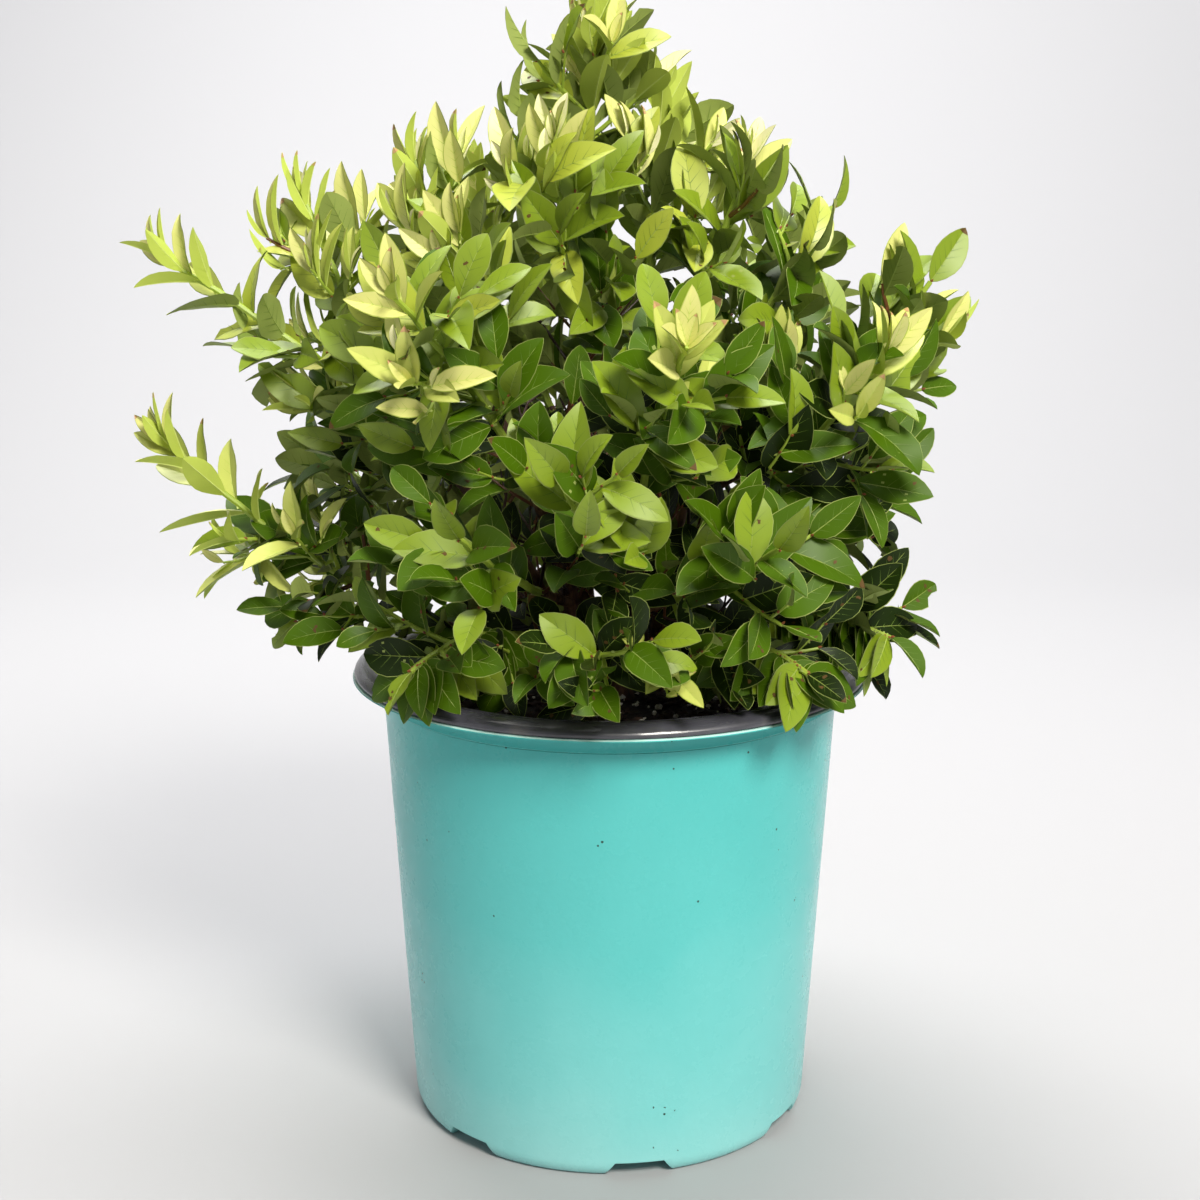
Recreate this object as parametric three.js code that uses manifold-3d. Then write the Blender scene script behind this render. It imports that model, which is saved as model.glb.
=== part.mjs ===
// Blueberry bush in a nursery pot.
//
// Millimetres, +Z up. The origin is the middle of the pot's flat underside, and the front
// of the plant faces -Y. Azimuths are counted in degrees from +X towards +Y.
//
// The pot is a thin wall with a rolled lip, filled with potting mix. Six canes rise from the
// mix, boughs fork from the canes, and each cane and bough ends where a mass of leafy twigs
// begins. Every mass keeps to its own space: the points that lie nearer to its own leader
// than to the leader of any other mass.

import * as THREE from 'three';
import { mergeVertices } from 'three/addons/utils/BufferGeometryUtils.js';
import Module from 'manifold-3d';

const wasm = await Module();
wasm.setup();

// ---------------------------------------------------------------- driving dimensions

const GAP = 0.3; // between neighbouring solids

const POT_HEIGHT = 234; // foot to the crown of the lip
const LIP_RADIUS = 129;
const LIP_DEPTH = 5.5; // crown of the lip to its underside
const FLANGE_THICKNESS = 1.1; // the wall's own turned-out edge, under the lip
const WALL_TOP_RADIUS = 115.4;
const WALL_FOOT_RADIUS = 102.4;
const WALL_THICKNESS = 1.8;
const STEP_BELOW_FLANGE = 9.5; // the shallow step that runs round the wall
const STEP_DEPTH = 0.9;
const HEEL_HEIGHT = 8; // height of the rounded heel
const STANDING_RADIUS = 97.5; // outer edge of the flat standing ring
const STANDING_RING_WIDTH = 17;
const UNDERSIDE_RECESS = 5; // the underside between the ring and the middle pad
const PAD_RADIUS = 18;
const FLOOR_HEIGHT = 9;
const ROUND_SIDES = 36; // faces round the pot

const NOTCH_COUNT = 7; // drain notches in the heel
const NOTCH_AZIMUTH = -82;
const NOTCH_WIDTH = 36;
const NOTCH_HEIGHT = 7.4;
const NOTCH_SLOPE = 6; // how far each end of a notch leans in

const SKIRT_THICKNESS = 1.5; // the lip's inner skirt
const SKIRT_DEPTH = 18;
const SOIL_BELOW_LIP = 15;

const CANE_FOOT_CIRCLE = 24; // radius of the circle that the canes stand on
const CANE_FOOT_RADIUS = 5.2;
const CANE_TIP_RADIUS = 2.6;
const ROOT_FLARE = 2.6; // extra radius where a cane meets the mix
const ROOT_FLARE_HEIGHT = 9;
const CANE_SIDES = 7;
const CANE_STEPS = 7;
const BOUGH_SIDES = 5;
const BOUGH_FOOT_RADIUS = 3.2;
const BOUGH_TIP_RADIUS = 2.3;
const LEADER_FOOT_RADIUS = 2.3;
const LEADER_TIP_RADIUS = 1.1;
const TWIG_FOOT_RADIUS = 1.1;
const TWIG_TIP_RADIUS = 0.7;

const LEAF_LENGTH = 52; // larger than life, so that a few hundred leaves fill the crown
const LEAF_WIDTH = 27;
const LEAF_FOLD = 0.13; // how far a blade's edges stand above its midrib, as a share of its width
const LEAF_WIDEST = 0.42; // where a blade is widest, as a share of its length
const LEAF_ROOT = 0.3; // a leaf's root, past the axis of its stem
const LEAF_SPACING = 9.5; // along a leader or a twig
const END_LEAF_SHARE = 0.66; // length of the leaf at the end of a stem, as a share of the others
const GOLDEN_ANGLE = THREE.MathUtils.degToRad(137.5);

const FORK_TO_TIP = 16; // least height of bare cane above its highest fork
const LEADER_SHARE = 0.7; // share of a shoot that carries leaves
const LEADER_LENGTH_MIN = 90;
const LEADER_LENGTH_MAX = 165;
const TWIG_SPACING = 26;
const TWIG_LENGTH = 54;
// A leaf that would leave its space is turned about its stem, then made smaller, then skipped.
const LEAF_TRIES = [
  { twist: 0, share: 1 },
  { twist: 0.9, share: 1 },
  { twist: -0.9, share: 1 },
  { twist: 0, share: 0.8 },
  { twist: 1.8, share: 0.85 },
  { twist: -1.8, share: 0.85 },
  { twist: 3.1, share: 0.8 },
  { twist: 0.9, share: 0.7 },
  { twist: -0.9, share: 0.7 },
];
const LEAF_APART = 4.5; // between two leaves of one mass
const SPACE_MARGIN = 1.2; // a leaf stays this far inside its own space
const LIMB_CLEARANCE = 3.2; // between a leaf and a limb of another node
const POT_CLEARANCE = 3;
const LEAF_DROOP = 4; // how far leaves outside the pot may reach below the crown of its lip
const HANGING_DROOP = 26;
const HANGING_SHOOTS = ['south_west_low', 'south_east_low', 'east_low'];

// Foot azimuth of each cane.
const CANES = {
  west: 185,
  south_west: -128,
  south: -78,
  east: -12,
  north_east: 52,
  north_west: 122,
};

// One row for each mass of leaves: the cane it grows from, the azimuth, reach and height of
// its tip, the height of its fork above the mix and how its shoot bends. A bend below 1 sweeps
// outwards before it climbs, and above 1 arches over. A fork of 0 is the cane's own tip.
const SHOOTS = {
  west_high: { cane: 'west', azimuth: -175, reach: 214, height: 434, fork: 0, bend: 0.45 },
  west_low: { cane: 'west', azimuth: -169, reach: 216, height: 350, fork: 14, bend: 0.3 },
  west_top: { cane: 'west', azimuth: 167, reach: 158, height: 463, fork: 92, bend: 0.5 },
  west_back: { cane: 'west', azimuth: 148, reach: 186, height: 330, fork: 36, bend: 0.5 },

  south_west_high: { cane: 'south_west', azimuth: -126, reach: 158, height: 424, fork: 0, bend: 0.5 },
  south_west_mid: { cane: 'south_west', azimuth: -115, reach: 156, height: 322, fork: 48, bend: 0.5 },
  south_west_low: { cane: 'south_west', azimuth: -131, reach: 140, height: 252, fork: 16, bend: 1.9 },
  top_west: { cane: 'south_west', azimuth: 180, reach: 94, height: 480, fork: 112, bend: 0.6 },

  south_high: { cane: 'south', azimuth: -78, reach: 150, height: 404, fork: 0, bend: 0.5 },
  south_mid: { cane: 'south', azimuth: -98, reach: 158, height: 350, fork: 66, bend: 0.5 },
  south_low: { cane: 'south', azimuth: -93, reach: 154, height: 272, fork: 22, bend: 0.8 },
  south_east_mid: { cane: 'south', azimuth: -63, reach: 160, height: 318, fork: 44, bend: 0.5 },
  south_east_low: { cane: 'south', azimuth: -48, reach: 136, height: 250, fork: 14, bend: 1.8 },

  top_east: { cane: 'east', azimuth: 8, reach: 112, height: 460, fork: 0, bend: 0.5 },
  east_high: { cane: 'east', azimuth: 1, reach: 158, height: 424, fork: 92, bend: 0.45 },
  east_mid: { cane: 'east', azimuth: -9, reach: 140, height: 334, fork: 52, bend: 0.45 },
  east_low: { cane: 'east', azimuth: -22, reach: 146, height: 256, fork: 18, bend: 1.3 },
  south_east_high: { cane: 'east', azimuth: -40, reach: 158, height: 398, fork: 72, bend: 0.5 },

  top_back: { cane: 'north_east', azimuth: 62, reach: 56, height: 510, fork: 0, bend: 0.6 },
  top_south_east: { cane: 'north_east', azimuth: -6, reach: 66, height: 480, fork: 128, bend: 0.7 },
  north_east_high: { cane: 'north_east', azimuth: 48, reach: 152, height: 436, fork: 84, bend: 0.5 },
  north_east_low: { cane: 'north_east', azimuth: 40, reach: 172, height: 312, fork: 34, bend: 0.5 },
  north_low: { cane: 'north_east', azimuth: 78, reach: 176, height: 292, fork: 20, bend: 0.6 },

  summit: { cane: 'north_west', azimuth: 125, reach: 12, height: 548, fork: 0, bend: 0.6 },
  top_south: { cane: 'north_west', azimuth: -125, reach: 46, height: 488, fork: 132, bend: 0.7 },
  top_north_west: { cane: 'north_west', azimuth: 134, reach: 98, height: 470, fork: 100, bend: 0.6 },
  north_high: { cane: 'north_west', azimuth: 98, reach: 142, height: 436, fork: 74, bend: 0.5 },
  north_west_low: { cane: 'north_west', azimuth: 116, reach: 180, height: 318, fork: 30, bend: 0.5 },
};

// ---------------------------------------------------------------- materials

function finish(color, roughness) {
  return new THREE.MeshStandardMaterial({ color, roughness, metalness: 0, flatShading: true });
}

const materials = {
  pot: finish('#63cbbf', 0.42),
  lip: finish('#26262b', 0.35),
  soil: finish('#2b2019', 0.95),
  bark: finish('#5b3a2c', 0.8),
  foliage: finish('#47692f', 0.5),
};

// ---------------------------------------------------------------- solids

// Leaves out faces that have lost a corner to the merging of shared vertices.
function wholeFaces(indices) {
  const faces = [];
  for (let i = 0; i < indices.length; i += 3) {
    const [a, b, c] = [indices[i], indices[i + 1], indices[i + 2]];
    if (a !== b && b !== c && c !== a) faces.push([a, b, c]);
  }
  return faces;
}

function enclosedVolume(vertices, faces) {
  const corner = (i) => new THREE.Vector3().fromArray(vertices, 3 * i);
  let sixfold = 0;
  for (const [a, b, c] of faces) sixfold += corner(a).dot(corner(b).cross(corner(c)));
  return sixfold / 6;
}

// A closed three.js geometry as a solid whose faces point outwards.
function toSolid(geometry) {
  const bare = geometry.clone();
  bare.deleteAttribute('normal');
  bare.deleteAttribute('uv');
  const merged = mergeVertices(bare);
  const vertices = Float32Array.from(merged.attributes.position.array);
  let faces = wholeFaces(merged.index.array);
  if (enclosedVolume(vertices, faces) < 0) faces = faces.map(([a, b, c]) => [a, c, b]);
  const triVerts = Uint32Array.from(faces.flat());
  return new wasm.Manifold(new wasm.Mesh({ numProp: 3, vertProperties: vertices, triVerts }));
}

// The faces of a solid, grouped into shells that share no vertex.
function shells(vertexCount, faces) {
  const leader = Array.from({ length: vertexCount }, (_, i) => i);
  const find = (i) => {
    while (leader[i] !== i) {
      leader[i] = leader[leader[i]];
      i = leader[i];
    }
    return i;
  };
  for (const [a, b, c] of faces) {
    leader[find(a)] = find(b);
    leader[find(b)] = find(c);
  }
  const groups = new Map();
  for (const face of faces) {
    const key = find(face[0]);
    if (!groups.has(key)) groups.set(key, []);
    groups.get(key).push(face);
  }
  return [...groups.values()];
}

// The outer shell of a solid as a geometry: sealed hollows are filled and loose scraps dropped.
function toGeometry(solid) {
  const mesh = solid.getMesh();
  const loose = new THREE.BufferGeometry();
  loose.setAttribute('position', new THREE.BufferAttribute(Float32Array.from(mesh.vertProperties), 3));
  loose.setIndex([...mesh.triVerts]);
  const merged = mergeVertices(loose, 2e-3);
  const vertices = merged.attributes.position.array;
  const faces = wholeFaces(merged.index.array);
  const volume = (shell) => enclosedVolume(vertices, shell);
  const outer = shells(vertices.length / 3, faces).sort((a, b) => volume(b) - volume(a))[0];
  const geometry = new THREE.BufferGeometry();
  geometry.setAttribute('position', new THREE.BufferAttribute(vertices, 3));
  geometry.setIndex(outer.flat());
  const plain = geometry.toNonIndexed();
  plain.computeVertexNormals();
  return plain;
}

const plant = new THREE.Group();

function addNode(name, solid, material) {
  const mesh = new THREE.Mesh(toGeometry(solid), material);
  mesh.name = name;
  plant.add(mesh);
}

// A turned solid from a profile of [radius, height] pairs.
function turned(profile) {
  const points = profile.map(([radius, height]) => new THREE.Vector2(radius, height));
  const geometry = new THREE.LatheGeometry(points, ROUND_SIDES);
  geometry.rotateX(Math.PI / 2);
  return toSolid(geometry);
}

// ---------------------------------------------------------------- pot, lip and potting mix

const FLANGE_TOP = POT_HEIGHT - LIP_DEPTH - GAP;
const FLANGE_BASE = FLANGE_TOP - FLANGE_THICKNESS;
const STEP_HEIGHT = FLANGE_BASE - STEP_BELOW_FLANGE;
const WALL_TOP_INNER = WALL_TOP_RADIUS - STEP_DEPTH - WALL_THICKNESS;
const INNER_TAPER_TOP = STEP_HEIGHT - 4; // the wall's inside tapers up to here, and is straight above
const SKIRT_BASE = POT_HEIGHT - SKIRT_DEPTH;
const SKIRT_INNER = WALL_TOP_INNER - GAP - SKIRT_THICKNESS;
const SOIL_TOP = POT_HEIGHT - SOIL_BELOW_LIP;

// Outer radius of the tapering wall, between the heel and the step.
function wallRadius(height) {
  const share = (height - HEEL_HEIGHT) / (STEP_HEIGHT - HEEL_HEIGHT);
  return THREE.MathUtils.lerp(WALL_FOOT_RADIUS, WALL_TOP_RADIUS - STEP_DEPTH, share);
}

function quarterRound(fromRadius, fromHeight, toRadius, toHeight, steps) {
  const points = [];
  for (let i = 0; i <= steps; i += 1) {
    const angle = (i / steps) * (Math.PI / 2);
    const radius = fromRadius + (toRadius - fromRadius) * Math.sin(angle);
    points.push([radius, fromHeight + (toHeight - fromHeight) * (1 - Math.cos(angle))]);
  }
  return points;
}

function makePot() {
  const ringInner = STANDING_RADIUS - STANDING_RING_WIDTH;
  const shell = turned([
    [0, 0],
    [PAD_RADIUS, 0],
    [PAD_RADIUS + 3, UNDERSIDE_RECESS],
    [ringInner - 3, UNDERSIDE_RECESS],
    [ringInner, 0],
    ...quarterRound(STANDING_RADIUS, 0, WALL_FOOT_RADIUS, HEEL_HEIGHT, 3),
    [wallRadius(STEP_HEIGHT), STEP_HEIGHT],
    [WALL_TOP_RADIUS, STEP_HEIGHT + STEP_DEPTH],
    [WALL_TOP_RADIUS, FLANGE_BASE],
    [LIP_RADIUS - 0.6, FLANGE_BASE],
    [LIP_RADIUS - 0.6, FLANGE_TOP],
    [WALL_TOP_INNER, FLANGE_TOP],
    [WALL_TOP_INNER, INNER_TAPER_TOP],
    [wallRadius(FLOOR_HEIGHT) - WALL_THICKNESS, FLOOR_HEIGHT],
    [0, FLOOR_HEIGHT],
  ]);
  return notches().reduce((solid, notch) => solid.subtract(notch), shell);
}

// Drain notches: a trapezium across the heel, run outwards through the standing ring.
function notches() {
  const foot = NOTCH_WIDTH / 2;
  const head = foot - NOTCH_SLOPE;
  const outline = new THREE.Shape([
    new THREE.Vector2(-foot, -1),
    new THREE.Vector2(foot, -1),
    new THREE.Vector2(head, NOTCH_HEIGHT),
    new THREE.Vector2(-head, NOTCH_HEIGHT),
  ]);
  const inner = STANDING_RADIUS - STANDING_RING_WIDTH - 6;
  return Array.from({ length: NOTCH_COUNT }, (_, i) => {
    const cutter = new THREE.ExtrudeGeometry(outline, { depth: 40, bevelEnabled: false });
    cutter.rotateX(Math.PI / 2);
    cutter.rotateZ(Math.PI);
    cutter.translate(0, inner, 0);
    cutter.rotateZ(THREE.MathUtils.degToRad(NOTCH_AZIMUTH + (i * 360) / NOTCH_COUNT - 90));
    return toSolid(cutter);
  });
}

function makeLip() {
  const base = POT_HEIGHT - LIP_DEPTH;
  const skirtOuter = WALL_TOP_INNER - GAP;
  return turned([
    [skirtOuter, SKIRT_BASE],
    [skirtOuter, base],
    [LIP_RADIUS - 0.8, base],
    [LIP_RADIUS, base + 0.15 * LIP_DEPTH],
    [LIP_RADIUS, base + 0.4 * LIP_DEPTH],
    [LIP_RADIUS - 1.4, base + 0.72 * LIP_DEPTH],
    [LIP_RADIUS - 5, base + 0.94 * LIP_DEPTH],
    [LIP_RADIUS - 10, POT_HEIGHT],
    [skirtOuter + 2, base + 0.84 * LIP_DEPTH],
    [SKIRT_INNER, base + 0.4 * LIP_DEPTH],
    [SKIRT_INNER, SKIRT_BASE],
    [skirtOuter, SKIRT_BASE],
  ]);
}

function makeSoil() {
  const floor = FLOOR_HEIGHT + GAP;
  const sideTop = WALL_TOP_INNER - GAP;
  return turned([
    [0, floor],
    [wallRadius(floor) - WALL_THICKNESS - GAP, floor],
    [sideTop, INNER_TAPER_TOP],
    [sideTop, SKIRT_BASE - GAP],
    [SKIRT_INNER - GAP, SKIRT_BASE - GAP],
    [SKIRT_INNER - GAP, SOIL_TOP],
    [0, SOIL_TOP],
  ]);
}

addNode('pot', makePot(), materials.pot);
addNode('pot_lip', makeLip(), materials.lip);
addNode('soil', makeSoil(), materials.soil);

// ---------------------------------------------------------------- routes of canes and shoots

function polar(azimuth, reach, height) {
  const angle = THREE.MathUtils.degToRad(azimuth);
  return new THREE.Vector3(reach * Math.cos(angle), reach * Math.sin(angle), height);
}

const tipOf = (shoot) => polar(shoot.azimuth, shoot.reach, shoot.height);

// A cane climbs straight up from the mix and leans out to the tip of its own leading shoot.
function caneRoute(name) {
  const foot = polar(CANES[name], CANE_FOOT_CIRCLE, SOIL_TOP + GAP);
  const shoot = Object.values(SHOOTS).find((row) => row.cane === name && row.fork === 0);
  const tip = tipOf(shoot);
  const control = foot.clone();
  control.z += shoot.bend * (tip.z - foot.z);
  return new THREE.QuadraticBezierCurve3(foot, control, tip);
}

// The share of a cane's route that lies below a height above the mix.
function shareBelow(route, height) {
  const steps = 200;
  const shares = Array.from({ length: steps }, (_, i) => i / steps);
  return shares.find((share) => route.getPoint(share).z >= SOIL_TOP + height) ?? 1;
}

// A bough leaves its cane at the fork, and its middle is pulled outwards or upwards.
function boughRoute(shoot, cane) {
  const from = cane.getPoint(shareBelow(cane, shoot.fork));
  const tip = tipOf(shoot);
  const control = from.clone().lerp(tip, 0.55);
  control.z = from.z + shoot.bend * 0.55 * (tip.z - from.z) + (shoot.bend > 1 ? 26 : 6);
  return new THREE.QuadraticBezierCurve3(from, control, tip);
}

// Where the leaves start along a route, as a share of it.
function leafyFrom(route) {
  const total = route.getLength();
  const wanted = THREE.MathUtils.clamp(LEADER_SHARE * total, LEADER_LENGTH_MIN, LEADER_LENGTH_MAX);
  return 1 - wanted / total;
}

// A tapering limb: a cylinder bent along the stretch of a route from start to end. A crowding
// above 1 draws its rings together towards the foot.
function bentLimb(route, start, end, radiusAt, sides, steps, crowding = 1) {
  const geometry = new THREE.CylinderGeometry(1, 1, 1, sides, steps);
  const position = geometry.attributes.position;
  for (let i = 0; i < position.count; i += 1) {
    const share = (position.getY(i) + 0.5) ** crowding;
    const along = THREE.MathUtils.lerp(start, end, share);
    const { side, normal } = frameAt(route, along);
    const radius = radiusAt(share);
    const point = route.getPoint(along);
    point.addScaledVector(side, position.getX(i) * radius);
    point.addScaledVector(normal, position.getZ(i) * radius);
    position.setXYZ(i, point.x, point.y, point.z);
  }
  return toSolid(geometry);
}

// Two directions square to a route and to each other, the first of them level.
function frameAt(route, along) {
  const tangent = route.getTangent(along);
  const chord = route.getPoint(1).sub(route.getPoint(0));
  const level = new THREE.Vector3(-chord.y, chord.x, 0);
  if (level.lengthSq() < 1) level.set(1, 0, 0);
  const normal = level.normalize().cross(tangent).normalize();
  const side = tangent.clone().cross(normal).normalize();
  return { tangent, side, normal };
}

// A route's stretch as short straight pieces, for measuring distances.
function stretch(route, start, end, radiusAt, steps = 6) {
  return Array.from({ length: steps }, (_, i) => ({
    from: route.getPoint(THREE.MathUtils.lerp(start, end, i / steps)),
    to: route.getPoint(THREE.MathUtils.lerp(start, end, (i + 1) / steps)),
    radius: radiusAt(i / steps),
  }));
}

const caneRadius = (length) => (share) => {
  const flare = ROOT_FLARE * Math.exp((-share * length) / ROOT_FLARE_HEIGHT);
  return THREE.MathUtils.lerp(CANE_FOOT_RADIUS, CANE_TIP_RADIUS, share) + flare;
};
const boughRadius = (share) => THREE.MathUtils.lerp(BOUGH_FOOT_RADIUS, BOUGH_TIP_RADIUS, share);
const leaderRadius = (share) => THREE.MathUtils.lerp(LEADER_FOOT_RADIUS, LEADER_TIP_RADIUS, share);

const caneSolid = (route, end, radiusAt) => bentLimb(route, 0, end, radiusAt, CANE_SIDES, CANE_STEPS, 1.7);

const limbs = [];
const leaders = [];

for (const cane of Object.keys(CANES)) {
  const route = caneRoute(cane);
  const length = route.getLength();
  const shoots = Object.entries(SHOOTS).filter(([, shoot]) => shoot.cane === cane);
  const highestFork = Math.max(...shoots.map(([, shoot]) => shoot.fork));
  const end = Math.max(leafyFrom(route), shareBelow(route, highestFork + FORK_TO_TIP));
  const radiusAt = caneRadius(length * end);
  addNode(`cane_${cane}`, caneSolid(route, end, radiusAt), materials.bark);
  limbs.push(...stretch(route, 0, end, radiusAt, 10));

  for (const [name, shoot] of shoots) {
    let mine = route;
    let leafy = end;
    if (shoot.fork > 0) {
      mine = boughRoute(shoot, route);
      leafy = leafyFrom(mine);
      // The saddle cut leaves the bough clear of the cane that it forks from.
      const saddle = caneSolid(route, end, (share) => radiusAt(share) + GAP);
      const bough = bentLimb(mine, 0, leafy, boughRadius, BOUGH_SIDES, 3).subtract(saddle);
      addNode(`bough_${name}`, bough, materials.bark);
      limbs.push(...stretch(mine, 0, leafy, boughRadius));
    }
    const start = leafy + GAP / mine.getLength();
    leaders.push({ name, route: mine, start, pieces: stretch(mine, start, 1, leaderRadius), taken: [] });
  }
}

// ---------------------------------------------------------------- own space of each mass

function distanceToPiece(point, piece) {
  const along = piece.to.clone().sub(piece.from);
  const offset = point.clone().sub(piece.from);
  const share = THREE.MathUtils.clamp(offset.dot(along) / along.lengthSq(), 0, 1);
  return offset.addScaledVector(along, -share).length();
}

const distanceToAll = (point, pieces) => Math.min(...pieces.map((piece) => distanceToPiece(point, piece)));

function insideOwnSpace(point, own) {
  const mine = distanceToAll(point, own.pieces) + 2 * SPACE_MARGIN;
  return leaders.every((other) => other === own || distanceToAll(point, other.pieces) > mine);
}

function clearOfLimbs(point) {
  return limbs.every((limb) => distanceToPiece(point, limb) > limb.radius + LIMB_CLEARANCE);
}

// In the open mouth above the mix, or outside the pot and hardly below its lip.
function clearOfPot(point, own) {
  const radius = Math.hypot(point.x, point.y);
  if (point.z > POT_HEIGHT + POT_CLEARANCE) return true;
  const droop = HANGING_SHOOTS.includes(own.name) ? HANGING_DROOP : LEAF_DROOP;
  if (radius > LIP_RADIUS + POT_CLEARANCE) return point.z > POT_HEIGHT - droop;
  return radius < SKIRT_INNER - POT_CLEARANCE && point.z > SOIL_TOP + POT_CLEARANCE;
}

const allowed = (points, own) =>
  points.every((point) => clearOfPot(point, own) && insideOwnSpace(point, own) && clearOfLimbs(point));

// ---------------------------------------------------------------- twigs and leaves

// A repeatable stream of numbers from 0 to 1.
function seeded(seed) {
  let state = seed >>> 0;
  return () => {
    state = (state + 0x6d2b79f5) >>> 0;
    let mixed = Math.imul(state ^ (state >>> 15), state | 1);
    mixed ^= mixed + Math.imul(mixed ^ (mixed >>> 7), mixed | 61);
    return ((mixed ^ (mixed >>> 14)) >>> 0) / 4294967296;
  };
}

// A direction that leans away from a stem by an angle, on the side given by a turn about it.
function leaning(frame, turn, angle) {
  const out = frame.side.clone().multiplyScalar(Math.cos(turn));
  out.addScaledVector(frame.normal, Math.sin(turn));
  return frame.tangent.clone().multiplyScalar(Math.cos(angle)).addScaledVector(out, Math.sin(angle));
}

// A point of a leaf's blade: share along the midrib, and across it from -1 to 1.
function bladePoint(leaf, share, across) {
  const half = share < LEAF_WIDEST ? share / LEAF_WIDEST : (1 - share) / (1 - LEAF_WIDEST);
  const point = leaf.root.clone().addScaledVector(leaf.along, share * leaf.length);
  point.addScaledVector(leaf.across, (across * half * leaf.width) / 2);
  return point.addScaledVector(leaf.up, Math.abs(across) * half * LEAF_FOLD * leaf.width);
}

// A leaf: a tetrahedron drawn out to root, tip and two raised edges, so that the blade is
// keeled along its midrib.
function leafSolid(leaf) {
  const corners = [
    leaf.root.clone().addScaledVector(leaf.along, LEAF_ROOT),
    bladePoint(leaf, 1, 0),
    bladePoint(leaf, LEAF_WIDEST, -1),
    bladePoint(leaf, LEAF_WIDEST, 1),
  ];
  const geometry = new THREE.TetrahedronGeometry(1, 0);
  const position = geometry.attributes.position;
  for (let i = 0; i < position.count; i += 1) {
    const [x, y] = [position.getX(i) > 0, position.getY(i) > 0];
    const corner = corners[2 * Number(x) + Number(y)];
    position.setXYZ(i, corner.x, corner.y, corner.z);
  }
  return toSolid(geometry);
}

function makeLeaf(root, frame, turn, angle, length, wobble) {
  const along = leaning(frame, turn, angle);
  along.z += 0.1 * (wobble[0] - 0.5);
  along.normalize();
  const outwards = new THREE.Vector3(root.x, root.y, 0).normalize();
  const up = frame.tangent.clone().multiplyScalar(0.5).addScaledVector(outwards, 0.9);
  up.add(new THREE.Vector3(wobble[1] - 0.5, wobble[2] - 0.5, 0.45 + 0.5 * wobble[3]));
  up.addScaledVector(along, -up.dot(along)).normalize();
  const across = up.clone().cross(along);
  const width = (LEAF_WIDTH * length) / LEAF_LENGTH;
  return { root, along, up, across, length, width };
}

function leafPoints(leaf) {
  const points = [];
  for (const share of [0.3, LEAF_WIDEST, 0.6, 0.8, 1]) {
    const spread = share < 1 ? [-1, -0.5, 0, 0.5, 1] : [0];
    points.push(...spread.map((across) => bladePoint(leaf, share, across)));
  }
  return points;
}

// Whether a leaf keeps clear of the leaves that its mass already has.
function apart(points, taken) {
  return points.every((point) => taken.every((spot) => point.distanceTo(spot) > LEAF_APART));
}

// Leaves in a golden-angle spiral along a stem, with one more at its end.
function leavesAlong(route, start, end, firstTurn, scale, own, random) {
  const leaves = [];
  const length = route.getLength() * (end - start);
  const count = Math.max(1, Math.round(length / LEAF_SPACING));
  for (let i = 1; i <= count; i += 1) {
    const last = i === count;
    const along = THREE.MathUtils.lerp(start, end, last ? 0.97 : (i - 0.3) / count);
    const size = scale * LEAF_LENGTH * (0.86 + 0.22 * random()) * (last ? END_LEAF_SHARE : 1);
    const angle = last ? 0.12 : THREE.MathUtils.lerp(1.02, 0.66, i / count);
    const turn = firstTurn + i * GOLDEN_ANGLE;
    const wobble = [random(), random(), random(), random()];
    const leaf = LEAF_TRIES.map(({ twist, share }) =>
      makeLeaf(route.getPoint(along), frameAt(route, along), turn + twist, angle, size * share, wobble),
    ).find((trial) => allowed(leafPoints(trial), own) && apart(leafPoints(trial), own.taken));
    if (!leaf) continue;
    leaves.push(leaf);
    own.taken.push(...leafPoints(leaf));
  }
  return leaves;
}

// A side twig: it leaves the leader at a slant and turns up a little.
function twigRoute(own, along, turn, length) {
  const frame = frameAt(own.route, along);
  const from = own.route.getPoint(along);
  const heading = leaning(frame, turn, 0.95);
  const control = from.clone().addScaledVector(heading, length * 0.5);
  const tip = from.clone().addScaledVector(heading, length * 0.88);
  tip.z += length * 0.12;
  return new THREE.QuadraticBezierCurve3(from, control, tip);
}

const twigRadius = (share) => THREE.MathUtils.lerp(TWIG_FOOT_RADIUS, TWIG_TIP_RADIUS, share);

function makeMass(own, seed) {
  const random = seeded(seed);
  let solid = bentLimb(own.route, own.start, 1, leaderRadius, 3, 3);
  const leaves = leavesAlong(own.route, own.start, 1, 6 * random(), 1, own, random);
  const leafyLength = own.route.getLength() * (1 - own.start);
  const twigCount = Math.round(leafyLength / TWIG_SPACING);
  for (let i = 0; i < twigCount; i += 1) {
    const share = (i + 0.35) / twigCount;
    const along = THREE.MathUtils.lerp(own.start, 1, share * 0.86);
    const length = TWIG_LENGTH * (1.05 - 0.45 * share) * (0.85 + 0.3 * random());
    const twig = twigRoute(own, along, i * GOLDEN_ANGLE + 1.9, length);
    const clear = [0.3, 0.65, 1].map((s) => twig.getPoint(s));
    if (!allowed(clear, own)) continue;
    solid = solid.add(bentLimb(twig, 0, 1, twigRadius, 3, 1));
    leaves.push(...leavesAlong(twig, 0.2, 1, 6 * random(), 0.96, own, random));
  }
  for (const leaf of leaves) solid = solid.add(leafSolid(leaf));
  return solid;
}

leaders.forEach((own, index) => addNode(`leaves_${own.name}`, makeMass(own, 101 + index), materials.foliage));

export default plant;
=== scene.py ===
# %% [markdown]
# # A blueberry bush in a nursery pot
#
# The bush is a low shrub: six woody canes rise from the potting mix, boughs fork from the
# canes, and every cane and bough ends in leafy green shoots. It stands in a thin turquoise
# plastic pot with a rolled black lip.
#
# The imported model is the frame. It gives the sizes of the pot and the places of all pieces, in
# metres, with +Z up and the front of the plant facing -Y. Everything made below is built
# around it, and nothing in it is moved.

# %% Load the frame
import math

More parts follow.
